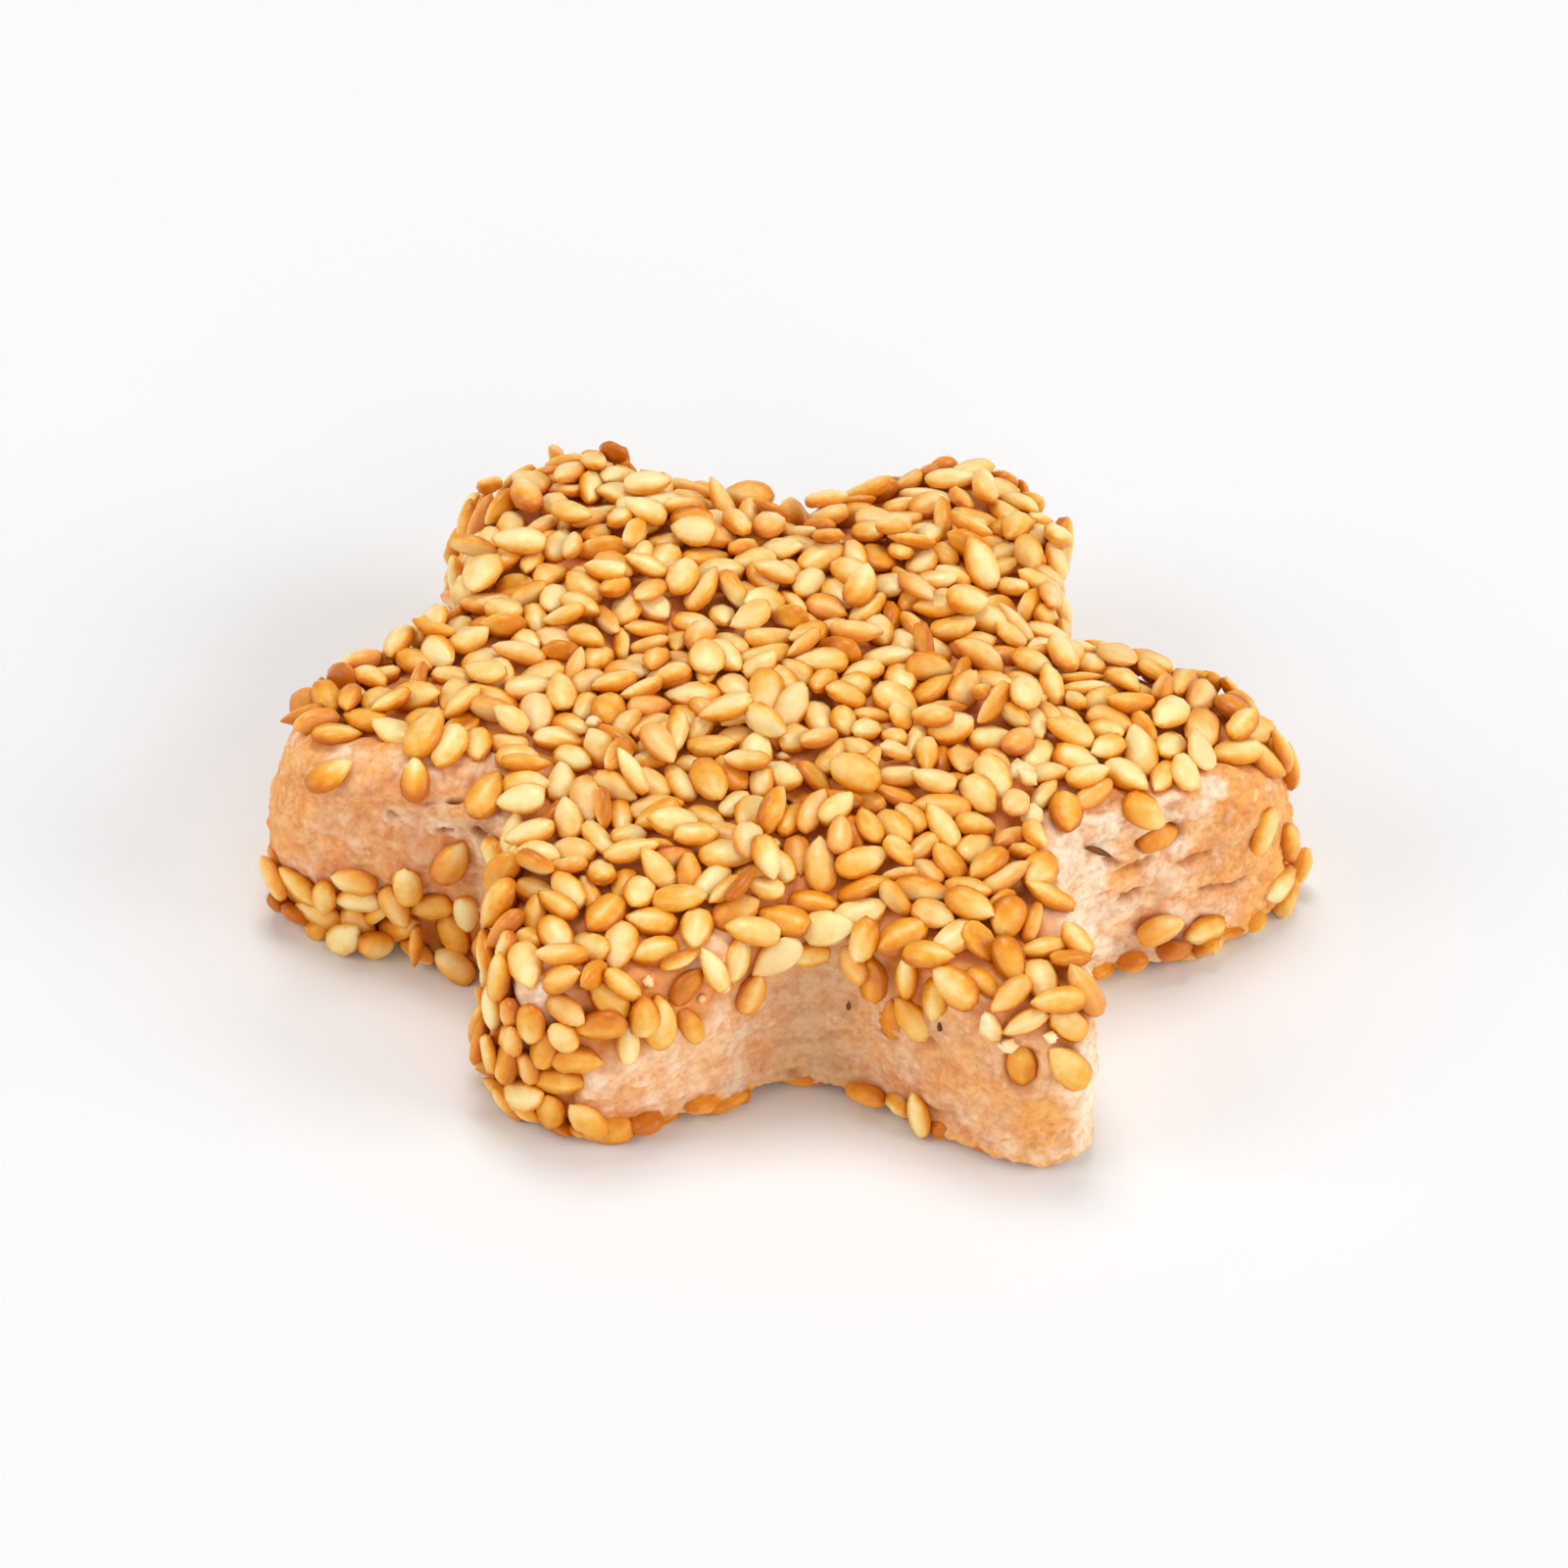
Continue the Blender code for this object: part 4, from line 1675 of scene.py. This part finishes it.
    def _tops(self, starts: Array, normal: Array, laid: list[int]) -> Array:
        """Finds the bits already laid under a bit.

        Args:
            starts: the spots under the bit, one a row, its middle first.
            normal: the way that the bit faces.
            laid: the numbers of the bits already laid.

        Returns:
            The height of those bits at each spot, along the normal.
        """
        lowest = np.full(len(starts), self.nothing_there)
        others = np.array(laid, dtype=int)
        near = ((self.place[others] - starts[0]) ** 2).sum(axis=1) < self.neighbours**2
        others = others[near]
        if len(others) == 0:
            return lowest
        size = self.nesting * self.half[others]
        away = starts[:, None] - self.place[others][None]
        origin = np.einsum("skc,kac->ska", away, self.axes[others]) / size
        ray = np.einsum("c,kac->ka", normal, self.axes[others]) / size
        square = (ray**2).sum(axis=1)
        cross = (origin * ray).sum(axis=2)
        inside = cross**2 - square * ((origin**2).sum(axis=2) - 1)
        height = (-cross + np.sqrt(np.maximum(inside, 0.0))) / square
        return np.maximum(lowest, np.where(inside > 0, height, self.nothing_there).max(axis=1))

    def _rest(self, grid: Array, needed: Array, lean: Array, steepest: float) -> tuple[float, Array]:
        """Finds the lowest rest of a bit on what lies below it, in three ever finer searches.

        Args:
            grid: the spots under the bit, along and across it, in metres.
            needed: how high its centre has to be for each spot, if it lay level.
            lean: the slopes along and across that it would lie at by itself.
            steepest: the steepest slope that it may lie at.

        Returns:
            The height of its centre, and its slopes along and across.
        """
        centre, reach = np.clip(lean, -steepest, steepest), steepest
        for _ in range(3):
            steps = np.linspace(-reach, reach, 13)
            slopes = np.stack(np.meshgrid(centre[0] + steps, centre[1] + steps), axis=-1)
            slopes = slopes.reshape(-1, 2).clip(-steepest, steepest)
            height = (needed[None] - slopes @ grid.T).max(axis=1)
            best = (height + self.spring * ((slopes - lean) ** 2).sum(axis=1)).argmin()
            centre, reach = slopes[best], reach / 5
        return float(height[best]), centre

    def _lay(self, number: int, frame_axes: Array, height: float, slope: Array) -> None:
        """Puts one bit at its height, tilted by its slopes.

        Args:
            number: which bit it is.
            frame_axes: its heading, its side and its normal, one a row.
            height: how far along the normal its centre goes, in metres.
            slope: its slopes along and across.
        """
        heading, side, normal = frame_axes
        up = unit(normal - slope[0] * heading - slope[1] * side)
        forward = unit(heading + slope[0] * normal)
        self.place[number] = self.place[number] + height * normal
        self.axes[number] = np.stack([forward, np.cross(up, forward), up])

    def _keep_off_the_table(self) -> None:
        """Lifts the bits under the cookie that would reach below its base."""
        drop = np.sqrt(((self.axes[:, :, 2] * self.half) ** 2).sum(axis=1))
        self.place[:, 2] += np.maximum(0.0, drop - self.place[:, 2])

    def colour(self, form: Form) -> None:
        """Colours each bit, and turns those that stand on edge so that their width points up.

        Args:
            form: the solid that the bits lie on.
        """
        count, rng, toast_and_shade = len(self.place), self.rng, self.toast_and_shade
        low = 1 - self.place[:, 2] / HEIGHT
        back = self.place[:, 1] / HALF_WIDTH
        self.toast = toast_and_shade.middle + toast_and_shade.at_points * form.pointness(self.place)
        self.toast += toast_and_shade.at_base * low
        self.toast += toast_and_shade.at_back * back
        self.toast += rng.normal(0.0, toast_and_shade.scatter, count)
        self.toast += np.where(rng.random(count) < toast_and_shade.dark_share, toast_and_shade.dark_extra, 0.0)
        self.toast[self.held] = [seed.toast for seed in PLACED]
        # Painted shade where others cover a seed, less on the cookie's underside
        under = ease(-self.normal[:, 2], *toast_and_shade.underside)
        self.shaded = toast_and_shade.shaded * (1 - toast_and_shade.shaded_under * under)
        self.heart = rng.normal(*toast_and_shade.heart, count)
        self.slant = rng.normal(*toast_and_shade.slant, count)
        self.blush = rng.uniform(*toast_and_shade.blush, count).clip(0, 1)
        self.blush *= 1 - ease(self.toast, *toast_and_shade.blush_gone)
        stood = self.edge_on
        self.half[stood] = self.half[stood][:, [0, 2, 1]]
        forward, side, up = (self.axes[stood, number] for number in range(3))
        self.axes[stood] = np.stack([forward, up, -side], axis=1)


@dataclass
class Coat:
    """The seeds and crumbs, from the choice of their places to their finished meshes."""

    form: Form
    coat: CoatMap
    dough: bpy.types.Object
    spacing: float = 1.42 * MM
    clearance: float = 1.75 * MM  # how far the other bits stay from those with places of their own
    margin: float = 0.75 * MM
    candidates: int = 30000
    stray_chance: float = 0.06  # the share of the candidates that are tried on the bare sides
    size_scatter: Pair = (0.98, 0.09)
    size_limits: Pair = (0.76, 1.16)
    form_scatter: Pair = (1.0, 0.055)
    form_limits: Pair = (0.85, 1.15)
    relax_steps: int = 40
    steepest: float = 0.80
    highest: float = 1.05 * MM
    shade_depths: Pair = (0.15 * MM, 0.95 * MM)  # how deep in the coat painted shade starts and is full
    shade_under: float = 1.15  # how much painted shade darkens a seed's own underside
    underside: Pair = (-0.55, 0.7)  # over which part of a seed's height that comes on, downwards

    def build(self, rng: np.random.Generator) -> list[bpy.types.Object]:
        """Models, places and dresses all the bits.

        Args:
            rng: the source of their places, sizes and colours.

        Returns:
            One piece for each kind.
        """
        masters = {kind: shape.model() for kind, shape in SHAPES.items()}
        crowd = self._scatter(rng, masters)
        self._relax(crowd)
        crowd.settle(self._surface_tree(), self.steepest, self.highest)
        crowd.colour(self.form)
        return [self._piece(kind, masters[kind], crowd) for kind in Kind]

    def _scatter(self, rng: np.random.Generator, masters: dict[Kind, SeedMaster]) -> Crowd:
        """Chooses places, kinds and sizes, after the bits that have places of their own.

        Args:
            rng: the source of all three.
            masters: the mesh of each kind.

        Returns:
            The bits, those with places of their own first.
        """
        own = [self.form.spot(seed.turn, seed.down * MM) for seed in PLACED]
        places, normals = self.form.sample(rng, self.candidates)
        full = self.coat.fullness(places, normals, self.margin)
        chance = np.where(full < 1, self.stray_chance * full, 1.0)
        wanted = rng.random(len(places)) < chance
        places, normals, full = places[wanted], normals[wanted], full[wanted]
        taken = np.array([place for place, _ in own])
        chosen = []
        nearest = [self.clearance**2] * len(own)
        for number, place in enumerate(places):
            if (((taken - place) ** 2).sum(axis=1) > nearest).all():
                taken = np.vstack([taken, place])
                nearest.append(self.spacing**2)
                chosen.append(number)
        kinds = self._kinds(rng, len(chosen))
        half = np.array([masters[kind].half for kind in kinds])
        half *= rng.normal(*self.size_scatter, (len(half), 1)).clip(*self.size_limits)
        half *= rng.normal(*self.form_scatter, half.shape).clip(*self.form_limits)
        sizes = np.array([seed.size for seed in PLACED])
        half[: len(own)] = sizes[:, None] * [masters[seed.kind].half for seed in PLACED]
        normals = np.vstack([[normal for _, normal in own], normals[chosen]])
        coated = np.concatenate([np.zeros(len(own), dtype=bool), full[chosen] == 1])
        log.info("bits in the coat: %d", len(taken))
        return Crowd(taken, normals, kinds, half, coated, rng)

    @staticmethod
    def _kinds(rng: np.random.Generator, count: int) -> Array:
        """Draws the kinds of the bits, each as often as its share of the coat.

        Args:
            rng: the source of the kinds.
            count: how many bits have no place of their own.

        Returns:
            The kinds, those of the bits with places of their own first.
        """
        kinds = np.array(list(SHAPES), dtype=object)
        shares = np.array([shape.share for shape in SHAPES.values()])
        drawn = kinds[rng.choice(len(kinds), count, p=shares / shares.sum())]
        return np.concatenate([np.array([seed.kind for seed in PLACED], dtype=object), drawn])

    def _relax(self, crowd: Crowd) -> None:
        """Pushes overlapping bits apart along the surface, within the edges of the coat.

        Args:
            crowd: the bits.
        """
        for _ in range(self.relax_steps):
            place, normal = crowd.place.copy(), crowd.normal.copy()
            crowd.spread()
            crowd.place, crowd.normal = self.form.nearest(crowd.place)
            full = self.coat.fullness(crowd.place, crowd.normal, self.margin)
            held = (crowd.coated & (full < 1)) | crowd.held
            crowd.place[held], crowd.normal[held] = place[held], normal[held]
            crowd.square_up()

    def _surface_tree(self) -> BVHTree:
        """Reads the finished dough, for the bits to lie on.

        Returns:
            Its surface.
        """
        mesh = self.dough.data
        faces = [tuple(face.vertices) for face in mesh.polygons]
        return BVHTree.FromPolygons(vertex_array(mesh).tolist(), faces)

    def _piece(self, kind: Kind, master: SeedMaster, crowd: Crowd) -> bpy.types.Object:
        """Makes all the bits of one kind as one piece.

        Args:
            kind: the kind.
            master: the mesh of one bit.
            crowd: all the bits.

        Returns:
            The finished piece.
        """
        members = np.flatnonzero((crowd.kind == kind) & ~crowd.dropped)
        scale = crowd.half[members] / np.array(master.half)
        local = master.places[None] * scale[:, None]
        local *= 1 + SHAPES[kind].ragged * crowd.rng.normal(size=local.shape)
        local[:, :, 2] += crowd.bend[members, None] * (master.along**2)[None] * master.half[2]
        places = crowd.place[members, None]
        places = places + np.einsum("mvk,mkc->mvc", local, crowd.axes[members])
        places[:, :, 2] = np.maximum(places[:, :, 2], 0.0)
        size = len(master.places)
        faces = []
        for number in range(len(members)):
            faces += [tuple(corner + number * size for corner in face) for face in master.faces]
        mesh = bpy.data.meshes.new(kind.value)
        mesh.from_pydata(places.reshape(-1, 3).tolist(), [], faces)
        toast = self._toast(SHAPES[kind].hollow_shade, master, crowd, members)
        # Painted shade: deeper toast where a seed lies low in the coat, under others
        shade = ease(self._depth(places, crowd, members), *self.shade_depths)
        toast += crowd.shaded[members, None] * shade
        put_attribute(mesh, "toast", toast.ravel())
        put_attribute(mesh, "blush", np.repeat(crowd.blush[members], size))
        mesh.shade_smooth()
        mesh.materials.append(finish_of(kind).material())
        piece = bpy.data.objects.new(kind.value, mesh)
        bpy.context.scene.collection.objects.link(piece)
        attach(piece, BODY)
        log.info("%s: %d", kind.value, len(members))
        return piece

    @staticmethod
    def _depth(places: Array, crowd: Crowd, members: Array) -> Array:
        """How far each vertex lies below the coat's top, in metres."""
        away = places - crowd.surface[members, None]
        return -np.einsum("mvc,mc->mv", away, crowd.normal[members])

    def _toast(self, hollow_shade: float, master: SeedMaster, crowd: Crowd, members: Array) -> Array:
        """Works out how toasted each bit is at each vertex, with painted shade added.

        Args:
            hollow_shade: how much painted shade deepens the colour in the middle of the upper face.
            master: the mesh of one bit.
            crowd: all the bits.
            members: the numbers of the bits of this kind.

        Returns:
            One value for each bit and vertex, by its heart, its tip, and the painted shade in its dish
            and on its underside.
        """
        parts = (crowd.toast, crowd.heart, crowd.slant)
        base, heart, slant = (values[members, None] for values in parts)
        # The heart term: a paler middle and deeper rim, part toasted rim and part painted highlight and
        # shade
        inner = (1 - master.rim**2)[None]
        # Painted shade on each seed's underside and in the hulls' dishes
        under = ease(-master.above, *self.underside)[None]
        dish_shade = hollow_shade * inner * (master.above > 0)[None]
        deep = self.shade_under * crowd.shaded[members, None] * under
        return base + heart * (inner - 0.5) + slant * master.along[None] + dish_shade + deep


# ------------------------------------------------------------------------------- the studio


@dataclass(frozen=True)
class Softbox:
    """A square light that faces the cookie."""

    name: str
    place: Triple
    size: float
    power: float

    def build(self) -> None:
        """Hangs the light."""
        lamp = bpy.data.lights.new(self.name, "AREA")
        lamp.size = self.size
        lamp.energy = self.power
        holder = bpy.data.objects.new(self.name, lamp)
        bpy.context.scene.collection.objects.link(holder)
        holder.location = self.place
        holder.rotation_mode = "QUATERNION"
        holder.rotation_quaternion = Vector(self.place).to_track_quat("Z", "Y")


@dataclass
class Studio:
    """The pale floor, the soft lights and the camera."""

    azimuth: float = -4.7
    elevation: float = 38.0
    roll: float = 3.5
    distance: float = 0.64
    width_in_view: float = 0.66  # the cookie's length as a share of the view's width
    floor_size: float = 1.4
    floor_colour: Colour = (0.845, 0.845, 0.85, 1.0)
    sky: float = 0.34  # how bright it is above
    horizon: float = 0.95  # and at the height of the floor
    horizon_band: Pair = (0.08, 0.36)
    sensor: float = 36.0
    softboxes: tuple[Softbox, ...] = (
        Softbox("right_softbox", (1.35, -0.36, 0.80), 1.0, 10.8),
        Softbox("left_softbox", (-1.26, -0.36, 0.84), 1.0, 7.6),
        Softbox("top_softbox", (-0.10, 0.50, 1.62), 0.7, 11.9),
        Softbox("front_softbox", (0.48, -1.56, 0.66), 1.0, 5.9),
    )

    def build(self) -> None:
        """Sets up everything around the cookie."""
        self._floor()
        self._world()
        for softbox in self.softboxes:
            softbox.build()
        self._camera()
        view = bpy.context.scene.view_settings
        view.view_transform = "Standard"
        view.look = "None"

    def _floor(self) -> None:
        """A plain pale floor under the cookie."""
        bpy.ops.mesh.primitive_plane_add(size=self.floor_size, location=(0, 0, 0))
        floor = bpy.context.active_object
        floor.name = "floor"
        shader = Shader("pale_floor")
        shader.set(Roughness=0.9, Specular_IOR_Level=0.1)
        shader.surface.inputs["Base Color"].default_value = self.floor_colour
        floor.data.materials.append(shader.material)

    def _world(self) -> None:
        """White light from all round, as bright as the floor at the horizon and softer above."""
        world = bpy.data.worlds.new("studio")
        world.use_nodes = True
        tree = world.node_tree
        background = tree.nodes["Background"]
        background.inputs["Color"].default_value = (1.0, 1.0, 1.0, 1.0)
        heading = tree.nodes.new("ShaderNodeTexCoord")
        parts = tree.nodes.new("ShaderNodeSeparateXYZ")
        fade = tree.nodes.new("ShaderNodeMapRange")
        start, end = self.horizon_band
        fade.inputs["From Min"].default_value = start
        fade.inputs["From Max"].default_value = end
        fade.inputs["To Min"].default_value = self.horizon
        fade.inputs["To Max"].default_value = self.sky
        tree.links.new(heading.outputs["Generated"], parts.inputs["Vector"])
        tree.links.new(parts.outputs["Z"], fade.inputs["Value"])
        tree.links.new(fade.outputs["Result"], background.inputs["Strength"])
        bpy.context.scene.world = world

    def _camera(self) -> None:
        """The camera, which looks down on the front of the cookie from far off."""
        low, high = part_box(NODE)
        turn, rise = math.radians(self.azimuth), math.radians(self.elevation)
        level = math.cos(rise)
        back = Vector((math.sin(turn) * level, -math.cos(turn) * level, math.sin(rise)))
        lens = bpy.data.cameras.new("camera")
        lens.sensor_width = self.sensor
        lens.lens = self.sensor * self.distance * self.width_in_view / (high.x - low.x)
        camera = bpy.data.objects.new("camera", lens)
        bpy.context.scene.collection.objects.link(camera)
        camera.location = (low + high) / 2 + back * self.distance
        camera.rotation_mode = "QUATERNION"
        upright = (-back).to_track_quat("-Z", "Y")
        camera.rotation_quaternion = upright @ Quaternion((0, 0, 1), math.radians(self.roll))
        bpy.context.scene.camera = camera


# --------------------------------------------------------------------------------- assembly


def main() -> None:
    """Builds the cookie's looks and the studio around it."""
    logging.basicConfig(level=logging.INFO, format="%(name)s: %(message)s")
    rng = np.random.default_rng(SCATTER_SEED)
    form = Form(frame["nodes"][NODE])
    coat = CoatMap(form)
    dough = Dough(form, coat, DoughFinish()).build(rng)
    log.info("dough: %d faces", len(dough.data.polygons))
    Coat(form, coat, dough).build(rng)
    Studio().build()


if __name__ == "__main__":
    main()
